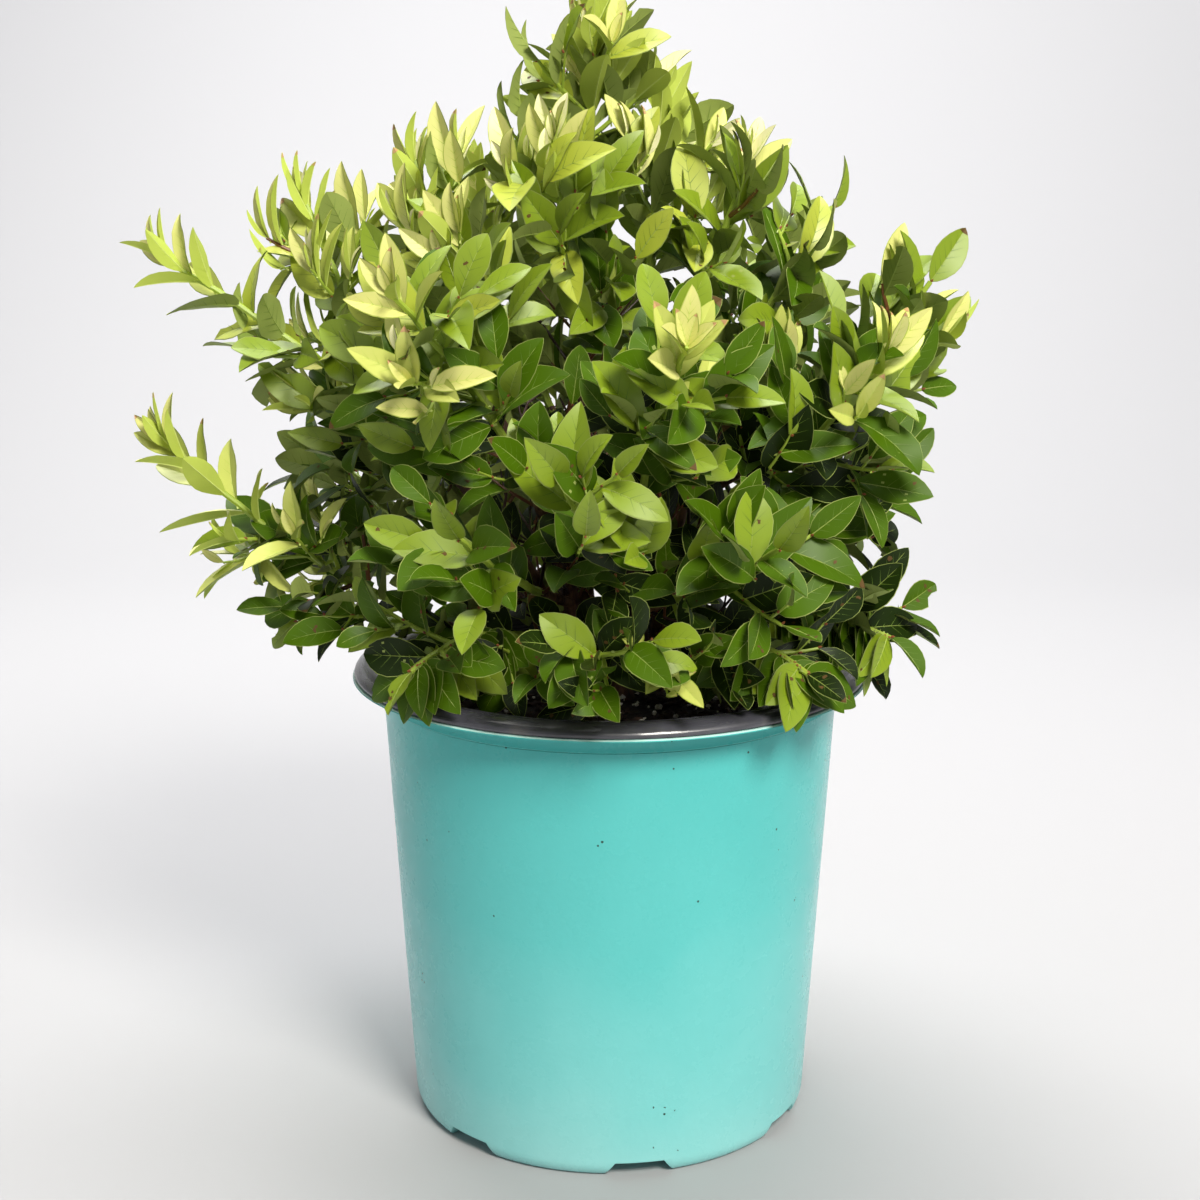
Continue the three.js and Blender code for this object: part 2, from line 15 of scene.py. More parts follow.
import bpy
import numpy as np
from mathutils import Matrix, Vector


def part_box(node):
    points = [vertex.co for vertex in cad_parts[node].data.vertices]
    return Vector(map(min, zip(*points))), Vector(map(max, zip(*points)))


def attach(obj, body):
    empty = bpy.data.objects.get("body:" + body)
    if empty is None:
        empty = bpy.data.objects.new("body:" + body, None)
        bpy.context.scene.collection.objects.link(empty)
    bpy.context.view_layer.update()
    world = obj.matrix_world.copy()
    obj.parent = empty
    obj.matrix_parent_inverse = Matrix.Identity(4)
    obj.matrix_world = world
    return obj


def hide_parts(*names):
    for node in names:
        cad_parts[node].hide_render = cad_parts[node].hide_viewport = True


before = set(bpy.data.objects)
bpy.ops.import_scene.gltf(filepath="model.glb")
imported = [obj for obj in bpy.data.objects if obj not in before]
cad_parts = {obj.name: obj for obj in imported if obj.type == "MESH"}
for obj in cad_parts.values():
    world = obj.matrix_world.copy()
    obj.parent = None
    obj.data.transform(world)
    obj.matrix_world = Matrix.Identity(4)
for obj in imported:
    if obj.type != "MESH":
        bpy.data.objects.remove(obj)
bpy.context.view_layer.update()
mm = 0.001

_, pot_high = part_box("pot")
lip_low, lip_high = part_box("pot_lip")
soil_low, soil_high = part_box("soil")
POT_HEIGHT = lip_high.z
SKIRT_BASE = lip_low.z
LIP_RADIUS = lip_high.x
FLANGE_TOP = pot_high.z
SOIL_TOP = soil_high.z
print(f"pot {POT_HEIGHT / mm:.1f} mm tall, {2 * LIP_RADIUS / mm:.1f} mm over the lip")

# %% [markdown]
# ## Selecting in code
#
# Operators act on whatever is selected. The frame arrives selected, and a new primitive is
# selected all over, so each step first clears the selection and then picks what it needs by
# its place.

# %% Selection helpers
def clear_selection():
    bpy.ops.object.select_all(action="DESELECT")


def make_active(*pieces):
    """Selects these pieces alone, with the first as the active one."""
    clear_selection()
    for piece in pieces:
        piece.select_set(True)
    bpy.context.view_layer.objects.active = pieces[0]


def pick(piece, test):
    """In edit mode: selects the vertices whose place passes the test."""
    bpy.ops.mesh.select_all(action="DESELECT")
    bpy.ops.object.mode_set(mode="OBJECT")
    for vertex in piece.data.vertices:
        vertex.select = test(vertex.co)
    bpy.ops.object.mode_set(mode="EDIT")


def apply_modifier(piece, kind, **settings):
    make_active(piece)
    modifier = piece.modifiers.new(kind.title(), kind)
    for key, value in settings.items():
        setattr(modifier, key, value)
    bpy.ops.object.modifier_apply(modifier=modifier.name)


def triangles(piece):
    return sum(len(face.vertices) - 2 for face in piece.data.polygons)


# %% [markdown]
# ## Handing a piece to the frame
#
# A finished piece has its place in its mesh: its object sits at the origin, unturned and
# unscaled. It rides on the model's only body, takes a material of its own, and hides the
# solids of the frame that it stands for.

# %% Finish a piece
def finish_piece(piece, name, material, nodes=()):
    make_active(piece)
    bpy.ops.object.transform_apply(location=True, rotation=True, scale=True)
    piece.name = name
    piece.data.name = name
    piece.data.materials.clear()
    piece.data.materials.append(material)
    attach(piece, "root")
    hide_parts(*nodes)
    print(f"{name}: {triangles(piece)} triangles")


# %% [markdown]
# ## Colours and shaders
#
# Colours are written as on a paint card and turned into the linear values that the shader
# works with. A few small helpers add nodes and link them, so that each material below reads as
# a short list: a noise in object space, the tones that it picks, its gloss and its relief.

# %% Colours
def paint(card):
    channels = [int(card[i : i + 2], 16) / 255 for i in (1, 3, 5)]
    linear = [c / 12.92 if c <= 0.04045 else ((c + 0.055) / 1.055) ** 2.4 for c in channels]
    return (*linear, 1.0)


def plain_material(name, card, roughness, **more):
    material = bpy.data.materials.new(name)
    material.use_nodes = True
    shader = material.node_tree.nodes["Principled BSDF"]
    shader.inputs["Base Color"].default_value = paint(card)
    shader.inputs["Roughness"].default_value = roughness
    for key, value in more.items():
        shader.inputs[key.replace("_", " ")].default_value = value
    return material


# %% Nodes
def add_node(material, kind, inputs=None, **settings):
    node = material.node_tree.nodes.new(kind)
    for key, value in settings.items():
        setattr(node, key, value)
    for key, value in (inputs or {}).items():
        if isinstance(value, bpy.types.NodeSocket):
            material.node_tree.links.new(value, node.inputs[key])
        else:
            node.inputs[key].default_value = value
    return node


def object_place(material):
    return add_node(material, "ShaderNodeTexCoord").outputs["Object"]


def noise(material, place, scale, detail=2.0, roughness=0.5):
    inputs = {"Vector": place, "Scale": scale, "Detail": detail, "Roughness": roughness}
    return add_node(material, "ShaderNodeTexNoise", inputs).outputs["Fac"]


def combined(material, operation, *values):
    inputs = dict(enumerate(values))
    return add_node(material, "ShaderNodeMath", inputs, operation=operation).outputs["Value"]


def ramp(material, factor, *stops):
    """A blend between stops, each a place and either a paint card or a grey value."""
    node = add_node(material, "ShaderNodeValToRGB", {"Fac": factor})
    elements = node.color_ramp.elements
    while len(elements) < len(stops):
        elements.new(0.5)
    for element, (place, tone) in zip(elements, stops):
        element.position = place
        element.color = paint(tone) if isinstance(tone, str) else (tone, tone, tone, 1.0)
    return node.outputs["Color"]


# %% What the shader takes
def shader_input(material, name, value):
    shader = material.node_tree.nodes["Principled BSDF"]
    material.node_tree.links.new(value, shader.inputs[name])


def tinted(material, factor, *stops):
    shader_input(material, "Base Color", ramp(material, factor, *stops))


def varied_gloss(material, factor, low, high):
    shader_input(material, "Roughness", ramp(material, factor, (0.3, low), (0.7, high)))


def bump(material, height, distance):
    node = add_node(material, "ShaderNodeBump", {"Height": height, "Distance": distance, "Strength": 1.0})
    shader_input(material, "Normal", node.outputs["Normal"])


# %% [markdown]
# ## The pot's wall
#
# The real pot is blown from one skin of plastic: a tapering wall with a rounded heel, a shallow
# step near the top and an edge turned out flat under the lip. A turned shape like this could be
# a stack of cylinders, but a profile spun about the axis keeps every curve continuous, so one
# vertex is extruded from point to point and the chain is spun.

# %% Turn a profile
def quarter(start, end, steps):
    """Points of a quarter ellipse that leaves start level and reaches end upright."""
    turns = [math.pi / 2 * i / steps for i in range(steps + 1)]
    (r0, z0), (r1, z1) = start, end
    return [(r0 + (r1 - r0) * math.sin(t), z0 + (z1 - z0) * (1 - math.cos(t))) for t in turns]


def weld(distance):
    """In edit mode: merges points that coincide, turns all faces outwards and leaves the mode."""
    bpy.ops.mesh.select_all(action="SELECT")
    bpy.ops.mesh.remove_doubles(threshold=distance)
    bpy.ops.mesh.normals_make_consistent(inside=False)
    bpy.ops.object.mode_set(mode="OBJECT")


def turned(profile, steps):
    """A closed profile of radius and height, spun about the axis."""
    clear_selection()
    bpy.ops.mesh.primitive_plane_add(size=mm)
    piece = bpy.context.object
    bpy.ops.object.mode_set(mode="EDIT")
    bpy.ops.mesh.merge(type="CENTER")
    radius, height = profile[0]
    bpy.ops.transform.translate(value=(radius, 0, height))
    for (r0, z0), (r1, z1) in zip(profile, profile[1:]):
        bpy.ops.mesh.extrude_region_move(TRANSFORM_OT_translate={"value": (r1 - r0, 0, z1 - z0)})
    bpy.ops.mesh.select_all(action="SELECT")
    bpy.ops.mesh.spin(steps=steps, angle=2 * math.pi, center=(0, 0, 0), axis=(0, 0, 1))
    weld(0.02 * mm)
    return piece


# %% Spin the wall
WALL_TOP_RADIUS = 115.4 * mm
WALL_FOOT_RADIUS = 102.4 * mm
WALL_THICKNESS = 1.8 * mm
FLANGE_THICKNESS = 1.1 * mm
FLANGE_BASE = FLANGE_TOP - FLANGE_THICKNESS
STEP_HEIGHT = FLANGE_BASE - 9.5 * mm
STEP_DEPTH = 0.9 * mm
HEEL_HEIGHT = 8 * mm
STANDING_RADIUS = 97.5 * mm
STANDING_RING_WIDTH = 17 * mm
UNDERSIDE_RECESS = 5 * mm
PAD_RADIUS = 18 * mm
FLOOR_HEIGHT = 9 * mm
INNER_RADIUS = WALL_TOP_RADIUS - STEP_DEPTH - WALL_THICKNESS
WALL_STEPS = 144
ring_inner = STANDING_RADIUS - STANDING_RING_WIDTH

pot = turned(
    [
        (0, 0),
        (PAD_RADIUS, 0),
        (PAD_RADIUS + 3 * mm, UNDERSIDE_RECESS),
        (ring_inner - 3 * mm, UNDERSIDE_RECESS),
        (ring_inner, 0),
        *quarter((STANDING_RADIUS, 0), (WALL_FOOT_RADIUS, HEEL_HEIGHT), 7),
        (WALL_TOP_RADIUS - STEP_DEPTH, STEP_HEIGHT - 0.4 * mm),
        (WALL_TOP_RADIUS - 1.6 * STEP_DEPTH, STEP_HEIGHT),
        (WALL_TOP_RADIUS - 0.2 * mm, STEP_HEIGHT + 0.1 * mm),
        (WALL_TOP_RADIUS + 0.2 * mm, STEP_HEIGHT + 0.6 * mm),
        (WALL_TOP_RADIUS, STEP_HEIGHT + 1.2 * mm),
        (WALL_TOP_RADIUS, FLANGE_BASE - 3 * mm),
        (WALL_TOP_RADIUS + 0.9 * mm, FLANGE_BASE - 0.9 * mm),
        (WALL_TOP_RADIUS + 3 * mm, FLANGE_BASE),
        (LIP_RADIUS - 0.4 * mm, FLANGE_BASE),
        (LIP_RADIUS + 0.9 * mm, FLANGE_BASE + 0.2 * mm),
        (LIP_RADIUS + 0.9 * mm, FLANGE_BASE + 0.5 * mm),
        (LIP_RADIUS + 0.2 * mm, FLANGE_TOP),
        (INNER_RADIUS, FLANGE_TOP),
        (INNER_RADIUS, STEP_HEIGHT - 4 * mm),
        (WALL_FOOT_RADIUS - WALL_THICKNESS, FLOOR_HEIGHT),
        (0, FLOOR_HEIGHT),
    ],
    WALL_STEPS,
)
print(f"wall spun: {triangles(pot)} triangles")

# %% [markdown]
# ## Drain notches
#
# Water leaves through seven notches in the heel. Each is a trapezium that runs outwards through
# the standing ring. One wedge is shaped from a cube by narrowing its top, it is copied round
# the axis, and a Boolean cuts all seven at once. A narrow bevel then softens the crisp edges of
# the heel, because blown plastic has none.

# %% Shape the wedges
NOTCH_COUNT = 7
NOTCH_AZIMUTH = math.radians(-82)
NOTCH_WIDTH = 36 * mm
NOTCH_HEIGHT = 7.4 * mm
NOTCH_SLOPE = 6 * mm
NOTCH_DEPTH = 40 * mm
notch_inner = ring_inner - 6 * mm


def join(pieces):
    make_active(*pieces)
    bpy.ops.object.join()
    return pieces[0]


clear_selection()
bpy.ops.mesh.primitive_cube_add(size=1)
wedge = bpy.context.object
wedge.scale = (NOTCH_DEPTH, NOTCH_WIDTH, NOTCH_HEIGHT + mm)
wedge.location = (notch_inner + NOTCH_DEPTH / 2, 0, (NOTCH_HEIGHT - mm) / 2)
bpy.ops.object.transform_apply(location=True, rotation=True, scale=True)
bpy.ops.object.mode_set(mode="EDIT")
pick(wedge, lambda spot: spot.z > NOTCH_HEIGHT - mm)
bpy.ops.transform.resize(value=(1, 1 - 2 * NOTCH_SLOPE / NOTCH_WIDTH, 1), center_override=(0, 0, 0))
bpy.ops.object.mode_set(mode="OBJECT")

wedges = [wedge]
for _ in range(1, NOTCH_COUNT):
    copy = wedge.copy()
    copy.data = wedge.data.copy()
    bpy.context.collection.objects.link(copy)
    wedges.append(copy)
for i, copy in enumerate(wedges):
    copy.rotation_euler.z = NOTCH_AZIMUTH + 2 * math.pi * i / NOTCH_COUNT
wedges = join(wedges)
bpy.ops.object.transform_apply(location=True, rotation=True, scale=True)
print(f"{NOTCH_COUNT} wedges: {triangles(wedges)} triangles")

# %% Cut the notches and soften the heel
SHARP = math.radians(38)


def smooth(piece, degrees):
    """Shades a piece smooth, but for the edges that are sharper than the angle."""
    make_active(piece)
    bpy.ops.object.shade_smooth_by_angle(angle=math.radians(degrees))


apply_modifier(pot, "BOOLEAN", operation="DIFFERENCE", solver="EXACT", object=wedges)
bpy.data.objects.remove(wedges)
make_active(pot)
bpy.ops.object.mode_set(mode="EDIT")
bpy.ops.mesh.select_mode(type="EDGE")
bpy.ops.mesh.select_all(action="DESELECT")
bpy.ops.mesh.edges_select_sharp(sharpness=SHARP)
bpy.ops.object.mode_set(mode="OBJECT")
corners = pot.data.vertices
for edge in pot.data.edges:
    edge.select = edge.select and max(corners[i].co.z for i in edge.vertices) < HEEL_HEIGHT + mm
bpy.ops.object.mode_set(mode="EDIT")
bpy.ops.mesh.bevel(offset=0.6 * mm, segments=2, clamp_overlap=True)
bpy.ops.mesh.select_mode(type="VERT")
bpy.ops.object.mode_set(mode="OBJECT")
smooth(pot, 40)
print(f"notches cut: {triangles(pot)} triangles")

# %% [markdown]
# ## Turquoise plastic
#
# The wall is coloured right through, with a soft gloss. It is paler low down, its tone drifts
# slowly, and a few grains of potting mix cling to it. The thin edge under the lip carries a pale
# line, a painted highlight, and the step a dark line, a painted shadow under its small overhang.
# The height comes from the Object coordinates, which run over the whole piece without a seam. The
# grains are the cells of a Voronoi texture whose centre lies close, thinned out by a second,
# coarser noise.

# %% Pot material
TONE_DRIFT = 90 * mm  # how far the tones of the wall wander up and down


def mixed(material, factor, color, card):
    inputs = {"Factor": factor, 6: color, 7: paint(card)}
    return add_node(material, "ShaderNodeMix", inputs, data_type="RGBA").outputs[2]


def band(material, height, middle, half):
    """1 within a level band of the wall, 0 elsewhere."""
    return combined(material, "COMPARE", height, middle, half)


def clinging_grains(material, place):
    """1 on a few scattered grains, 0 elsewhere."""
    grains = add_node(material, "ShaderNodeTexVoronoi", {"Vector": place, "Scale": 260.0})
    near = combined(material, "LESS_THAN", grains.outputs["Distance"], 0.16)
    few = combined(material, "GREATER_THAN", noise(material, place, 55.0), 0.69)
    return combined(material, "MULTIPLY", near, few)


def pot_plastic():
    coat = {"Coat_Weight": 0.12, "Coat_Roughness": 0.08}
    material = plain_material("pot plastic", "#5fbab1", 0.3, Specular_IOR_Level=0.22, **coat)
    place = object_place(material)
    height = add_node(material, "ShaderNodeSeparateXYZ", {"Vector": place}).outputs["Z"]
    lifted = combined(material, "MULTIPLY_ADD", noise(material, place, 14.0, 3.0), TONE_DRIFT, height)
    limits = {"Value": lifted, "From Min": TONE_DRIFT / 3, "From Max": POT_HEIGHT + TONE_DRIFT / 3}
    share = add_node(material, "ShaderNodeMapRange", limits).outputs["Result"]
    tones = [(0.0, "#9cdddc"), (0.25, "#80d2d1"), (0.6, "#60c4c2"), (1.0, "#51bab7")]
    body = ramp(material, share, *tones)
    # Painted highlight: a pale line along the thin edge under the lip, where it catches light.
    body = mixed(material, band(material, height, FLANGE_TOP, 0.45 * mm), body, "#bfeae4")
    # Painted shadow: a dark line at the step, for the shade under its small overhang.
    body = mixed(material, band(material, height, STEP_HEIGHT, 0.3 * mm), body, "#459d96")
    body = mixed(material, clinging_grains(material, place), body, "#2c4a40")
    shader_input(material, "Base Color", body)
    varied_gloss(material, noise(material, place, 38.0, 5.0, 0.65), 0.2, 0.36)
    bump(material, noise(material, place, 420.0), 0.06 * mm)
    return material


finish_piece(pot, "pot_wall", pot_plastic(), ["pot"])

# %% [markdown]
# ## The rolled lip
#
# The lip is a second skin of black plastic: a skirt inside the wall, and a roll that lies on
# the wall's turned-out edge. Two quarter ellipses make its crown, a steep one outside and a
# long one that runs down into the pot. It is glossy, with faint marks that run round it from
# the mould, so its texture is stretched along the angle about the axis.

# %% Spin the lip
LIP_DEPTH = 5.5 * mm
LIP_CROWN_RADIUS = LIP_RADIUS - 9 * mm
LIP_STEPS = 180
SKIRT_OUTER = INNER_RADIUS - 0.3 * mm
SKIRT_INNER = SKIRT_OUTER - 1.5 * mm
lip_base = POT_HEIGHT - LIP_DEPTH
crown = (LIP_CROWN_RADIUS, POT_HEIGHT)

lip = turned(
    [
        (SKIRT_OUTER, SKIRT_BASE),
        (SKIRT_OUTER, lip_base),
        (LIP_RADIUS - 0.9 * mm, lip_base),
        (LIP_RADIUS - 0.3 * mm, lip_base + 0.3 * mm),
        *reversed(quarter(crown, (LIP_RADIUS, lip_base + 1.2 * mm), 8)),
        *quarter(crown, (SKIRT_INNER, lip_base + 0.5 * mm), 8)[1:],
        (SKIRT_INNER, SKIRT_BASE),
        (SKIRT_OUTER, SKIRT_BASE),
    ],
    LIP_STEPS,
)
smooth(lip, 40)


# %% Lip material
MARKS_ACROSS = 260.0  # how much finer the marks are across the lip than round it


def lip_plastic():
    material = plain_material("lip plastic", "#2a2a2e", 0.3, Specular_IOR_Level=0.75)
    place = object_place(material)
    axes = add_node(material, "ShaderNodeSeparateXYZ", {"Vector": place}).outputs
    front = combined(material, "MULTIPLY", axes["Y"], -1.0)
    angle = combined(material, "ARCTAN2", axes["X"], front)
    reach = add_node(material, "ShaderNodeVectorMath", {0: place}, operation="LENGTH")
    across = combined(material, "MULTIPLY", reach.outputs["Value"], MARKS_ACROSS)
    round_the_lip = add_node(material, "ShaderNodeCombineXYZ", {"X": angle, "Y": across})
    marks = noise(material, round_the_lip.outputs["Vector"], 3.2, 4.0)
    dust_and_sheen = noise(material, place, 60.0, 5.0)
    # The grey tones are partly dust and partly a painted sheen, for the lip's grey reflections.
    tinted(material, dust_and_sheen, (0.35, "#3a3a41"), (0.6, "#4c4c55"), (0.8, "#66625c"))
    varied_gloss(material, marks, 0.16, 0.4)
    bump(material, marks, 0.25 * mm)
    return material


finish_piece(lip, "pot_lip_roll", lip_plastic(), ["pot_lip"])

# %% [markdown]
# ## Potting mix
#
# The mix is near-black, damp bark and peat, with white bits of perlite. Its top is a disc of
# fine rings that two Displace modifiers roughen, one for the hollows and one for the crumb.

# %% Mix body
MIX_GAP = 0.3 * mm
TOP_RINGS = 60
MIX_STEPS = 150
mix_edge = SKIRT_INNER - MIX_GAP
top_rings = [(mix_edge * (TOP_RINGS - i) / TOP_RINGS, SOIL_TOP) for i in range(TOP_RINGS + 1)]
mix = turned(
    [
        (0, soil_low.z),
        (WALL_FOOT_RADIUS - WALL_THICKNESS - 2 * MIX_GAP, soil_low.z),
        (INNER_RADIUS - MIX_GAP, STEP_HEIGHT - 4 * mm),
        (INNER_RADIUS - MIX_GAP, SKIRT_BASE - MIX_GAP),
        (mix_edge, SKIRT_BASE - MIX_GAP),
        *top_rings,
    ],
    MIX_STEPS,
)
top_group = mix.vertex_groups.new(name="top")
top_points = [v.index for v in mix.data.vertices if v.co.z > SOIL_TOP - 0.1 * mm]
top_group.add(top_points, 1.0, "REPLACE")


def clouds(name, size):
    texture = bpy.data.textures.new(name, "CLOUDS")
    texture.noise_scale = size
    texture.noise_depth = 3
    return texture


for name, size, strength in (("hollows", 14 * mm, 7 * mm), ("crumb", 3.2 * mm, 4 * mm)):
    relief = {"texture": clouds(name, size), "strength": strength, "mid_level": 0.55}
    apply_modifier(mix, "DISPLACE", direction="Z", vertex_group="top", **relief)
smooth(mix, 60)


# %% Mix material
def damp_mix():
    material = plain_material("damp mix", "#1c140e", 0.9)
    crumbs = noise(material, object_place(material), 170.0, 6.0, 0.7)
    tinted(material, crumbs, (0.35, "#0e0a08"), (0.55, "#1a120e"), (0.72, "#302218"))
    varied_gloss(material, crumbs, 0.6, 0.95)
    bump(material, crumbs, 1.2 * mm)
    return material


finish_piece(mix, "potting_mix", damp_mix(), ["soil"])

# %% [markdown]
# ## Many small things, one mesh
#
# Hundreds of bits lie on the mix and thousands of leaves grow above it. As separate objects they
# would be slow, and an export drops instances. So each shape is modelled once, its copies are
# placed as arrays of points and gathered in a pile, and each pile becomes one joined mesh.

# %% Piles
class Pile:
    """The points and faces of many small shapes, to be joined in one mesh."""

    def __init__(self):
        self.points, self.faces, self.count = [], [], 0

    def add(self, points, faces):
        self.faces.extend(tuple(i + self.count for i in face) for face in faces)
        self.points.append(points)
        self.count += len(points)

    def join(self, name, crease=50):
        mesh = bpy.data.meshes.new(name)
        mesh.from_pydata(np.concatenate(self.points).tolist(), [], self.faces)
        mesh.update()
        piece = bpy.data.objects.new(name, mesh)
        bpy.context.collection.objects.link(piece)
        smooth(piece, crease)
        return piece


# %% [markdown]
# ## Chips and perlite
#
# Flakes of bark and white bits of perlite lie half sunk in the mix. A bit is an icosphere with
# a seeded dent in every corner, flattened for bark and left round for perlite. Four of each are
# modelled, and copies are turned, sized and scattered over the top.

# %% Model the bits
def taken_apart(model):
    """The points and faces of a model, which is then removed."""
    points = np.array([v.co for v in model.data.vertices])
    faces = [tuple(face.vertices) for face in model.data.polygons]
    bpy.data.objects.remove(model)
    return points, faces


def model_bit(size, dent, seed):
    """Points and faces of a dented ball, one unit across times the size on each axis."""
    clear_selection()
    bpy.ops.mesh.primitive_ico_sphere_add(subdivisions=2, radius=0.5)
    ball = bpy.context.object
    bpy.ops.object.mode_set(mode="EDIT")
    bpy.ops.mesh.select_all(action="SELECT")
    bpy.ops.transform.resize(value=size, center_override=(0, 0, 0))
    bpy.ops.transform.vertex_random(offset=dent, uniform=0.6, normal=0.0, seed=seed)
    bpy.ops.object.mode_set(mode="OBJECT")
    return taken_apart(ball)


BIT_KINDS = 4
flakes = [model_bit((1, 0.5, 0.16), 0.1, seed) for seed in range(BIT_KINDS)]
crumbs = [model_bit((1, 0.85, 0.8), 0.16, seed) for seed in range(BIT_KINDS)]
print(f"a flake has {len(flakes[0][1])} faces")

# %% A seeded stream
def seeded(seed):
    """A repeatable stream of numbers from 0 to 1."""
    whole = 0xFFFFFFFF
    state = seed

    def draw():
        nonlocal state
        state = (state + 0x6D2B79F5) & whole
        mixed = ((state ^ (state >> 15)) * (state | 1)) & whole
        mixed ^= (mixed + (mixed ^ (mixed >> 7)) * (mixed | 61)) & whole
        return (mixed ^ (mixed >> 14)) / (whole + 1)

    return draw


# %% Scatter the bits
def turn_about(points, axis, angle):
    cos, sin = math.cos(angle), math.sin(angle)
    a, b = [(1, 2), (2, 0), (0, 1)][axis]
    turned_points = points.copy()
    turned_points[:, a] = points[:, a] * cos - points[:, b] * sin
    turned_points[:, b] = points[:, a] * sin + points[:, b] * cos
    return turned_points


def scatter(kinds, count, smallest, largest, tilt, seed):
    random = seeded(seed)
    pile = Pile()
    for _ in range(count):
        points, faces = kinds[int(BIT_KINDS * random())]
        size = smallest + (largest - smallest) * random() ** 3
        points = turn_about(points * size, 0, tilt * (random() - 0.5))
        points = turn_about(points, 2, 2 * math.pi * random())
        reach = (mix_edge - 4 * mm) * math.sqrt(random())
        angle = 2 * math.pi * random()
        height = SOIL_TOP + (0.2 + 1.6 * random()) * mm
        pile.add(points + [reach * math.cos(angle), reach * math.sin(angle), height], faces)
    return pile


def grainy(name, card, roughness, scale, *stops):
    material = plain_material(name, card, roughness)
    tinted(material, noise(material, object_place(material), scale), *stops)
    return material


bark_stops = [(0.35, "#170e0a"), (0.55, "#2e1d15"), (0.75, "#4c3527")]
bark_material = grainy("bark flakes", "#33211a", 0.8, 240.0, *bark_stops)
bark_bits = scatter(flakes, 900, 3 * mm, 13 * mm, 1.6, 31).join("bark_flakes")
finish_piece(bark_bits, "bark_flakes", bark_material, ["soil"])

perlite_material = grainy("perlite", "#e4e1da", 0.85, 900.0, (0.3, "#b9b1a4"), (0.7, "#f1efea"))
perlite_bits = scatter(crumbs, 420, 1.2 * mm, 3.8 * mm, 3.0, 57).join("perlite")
finish_piece(perlite_bits, "perlite", perlite_material, ["soil"])

# %% [markdown]
# ## Where the limbs run
#
# The bush is grown by the rule that its solids were made by. Each cane climbs from its foot to
# the tip of its leading shoot, and each other shoot forks from a cane at a height above the
# mix. A route is a curve with three points: where it starts, a point that pulls its middle, and
# its tip. A bend below 1 sweeps outwards before it climbs, and above 1 arches over.

# %% Canes and shoots
CANE_FOOT_CIRCLE = 24 * mm
CANES = {
    "west": 185,
    "south_west": -128,
    "south": -78,
    "east": -12,
    "north_east": 52,
    "north_west": 122,
}

# Each row: the cane, the azimuth, reach and height of the tip, the height of the fork, the bend.
SHOOTS = {
    "west_high": ("west", -175, 214, 434, 0, 0.45),
    "west_low": ("west", -169, 216, 350, 14, 0.3),
    "west_top": ("west", 167, 158, 463, 92, 0.5),
    "west_back": ("west", 148, 186, 330, 36, 0.5),
    "south_west_high": ("south_west", -126, 158, 424, 0, 0.5),
    "south_west_mid": ("south_west", -115, 156, 322, 48, 0.5),
    "south_west_low": ("south_west", -131, 140, 252, 16, 1.9),
    "top_west": ("south_west", 180, 94, 480, 112, 0.6),
    "south_high": ("south", -78, 150, 404, 0, 0.5),
    "south_mid": ("south", -98, 158, 350, 66, 0.5),
    "south_low": ("south", -93, 154, 272, 22, 0.8),
    "south_east_mid": ("south", -63, 160, 318, 44, 0.5),
    "south_east_low": ("south", -48, 136, 250, 14, 1.8),
    "top_east": ("east", 8, 112, 460, 0, 0.5),
    "east_high": ("east", 1, 158, 424, 92, 0.45),
    "east_mid": ("east", -9, 140, 334, 52, 0.45),
    "east_low": ("east", -22, 146, 256, 18, 1.3),
    "south_east_high": ("east", -40, 158, 398, 72, 0.5),
    "top_back": ("north_east", 62, 56, 510, 0, 0.6),
    "top_south_east": ("north_east", -6, 66, 480, 128, 0.7),
    "north_east_high": ("north_east", 48, 152, 436, 84, 0.5),
    "north_east_low": ("north_east", 40, 172, 312, 34, 0.5),
    "north_low": ("north_east", 78, 176, 292, 20, 0.6),
    "summit": ("north_west", 125, 12, 548, 0, 0.6),
    "top_south": ("north_west", -125, 46, 488, 132, 0.7),
    "top_north_west": ("north_west", 134, 98, 470, 100, 0.6),
    "north_high": ("north_west", 98, 142, 436, 74, 0.5),
    "north_west_low": ("north_west", 116, 180, 318, 30, 0.5),
}
print(f"{len(CANES)} canes, {len(SHOOTS)} shoots")


# %% Routes
def unit(vector):
    return vector / np.linalg.norm(vector)


def polar(azimuth, reach, height):
    angle = math.radians(azimuth)
    return np.array([reach * math.cos(angle), reach * math.sin(angle), height])


class Route:
    """A curve from start to tip, pulled towards a middle point."""

    def __init__(self, start, middle, tip):
        self.start, self.middle, self.tip = start, middle, tip
        steps = self.point(np.linspace(0, 1, 101)[:, None])
        self.length = np.linalg.norm(np.diff(steps, axis=0), axis=1).sum()

    def point(self, along):
        rest = 1 - along
        return rest**2 * self.start + 2 * rest * along * self.middle + along**2 * self.tip

    def stretch(self, begin, end, count):
        return self.point(np.linspace(begin, end, count)[:, None])

    def heading(self, along):
        return unit((1 - along) * (self.middle - self.start) + along * (self.tip - self.middle))

    def frame(self, along):
        """The heading and two directions square to it, the first of them level."""
        heading = self.heading(along)
        chord = self.tip - self.start
        level = np.array([-chord[1], chord[0], 0.0])
        if np.linalg.norm(level) < mm:
            level = np.array([1.0, 0.0, 0.0])
        normal = unit(np.cross(level, heading))
        return heading, unit(np.cross(heading, normal)), normal


def tip_of(shoot):
    _, azimuth, reach, height, _, _ = shoot
    return polar(azimuth, reach * mm, height * mm)


def cane_route(cane):
    foot = polar(CANES[cane], CANE_FOOT_CIRCLE, SOIL_TOP + MIX_GAP)
    shoot = next(row for row in SHOOTS.values() if row[0] == cane and row[4] == 0)
    tip = tip_of(shoot)
    middle = foot.copy()
    middle[2] += shoot[5] * (tip[2] - foot[2])
    return Route(foot, middle, tip)


def share_below(route, height):
    """The share of a route that lies below a height above the mix."""
    heights = route.stretch(0, 1, 201)[:, 2]
    above = np.nonzero(heights[:200] >= SOIL_TOP + height)[0]
    return above[0] / 200 if len(above) else 1.0


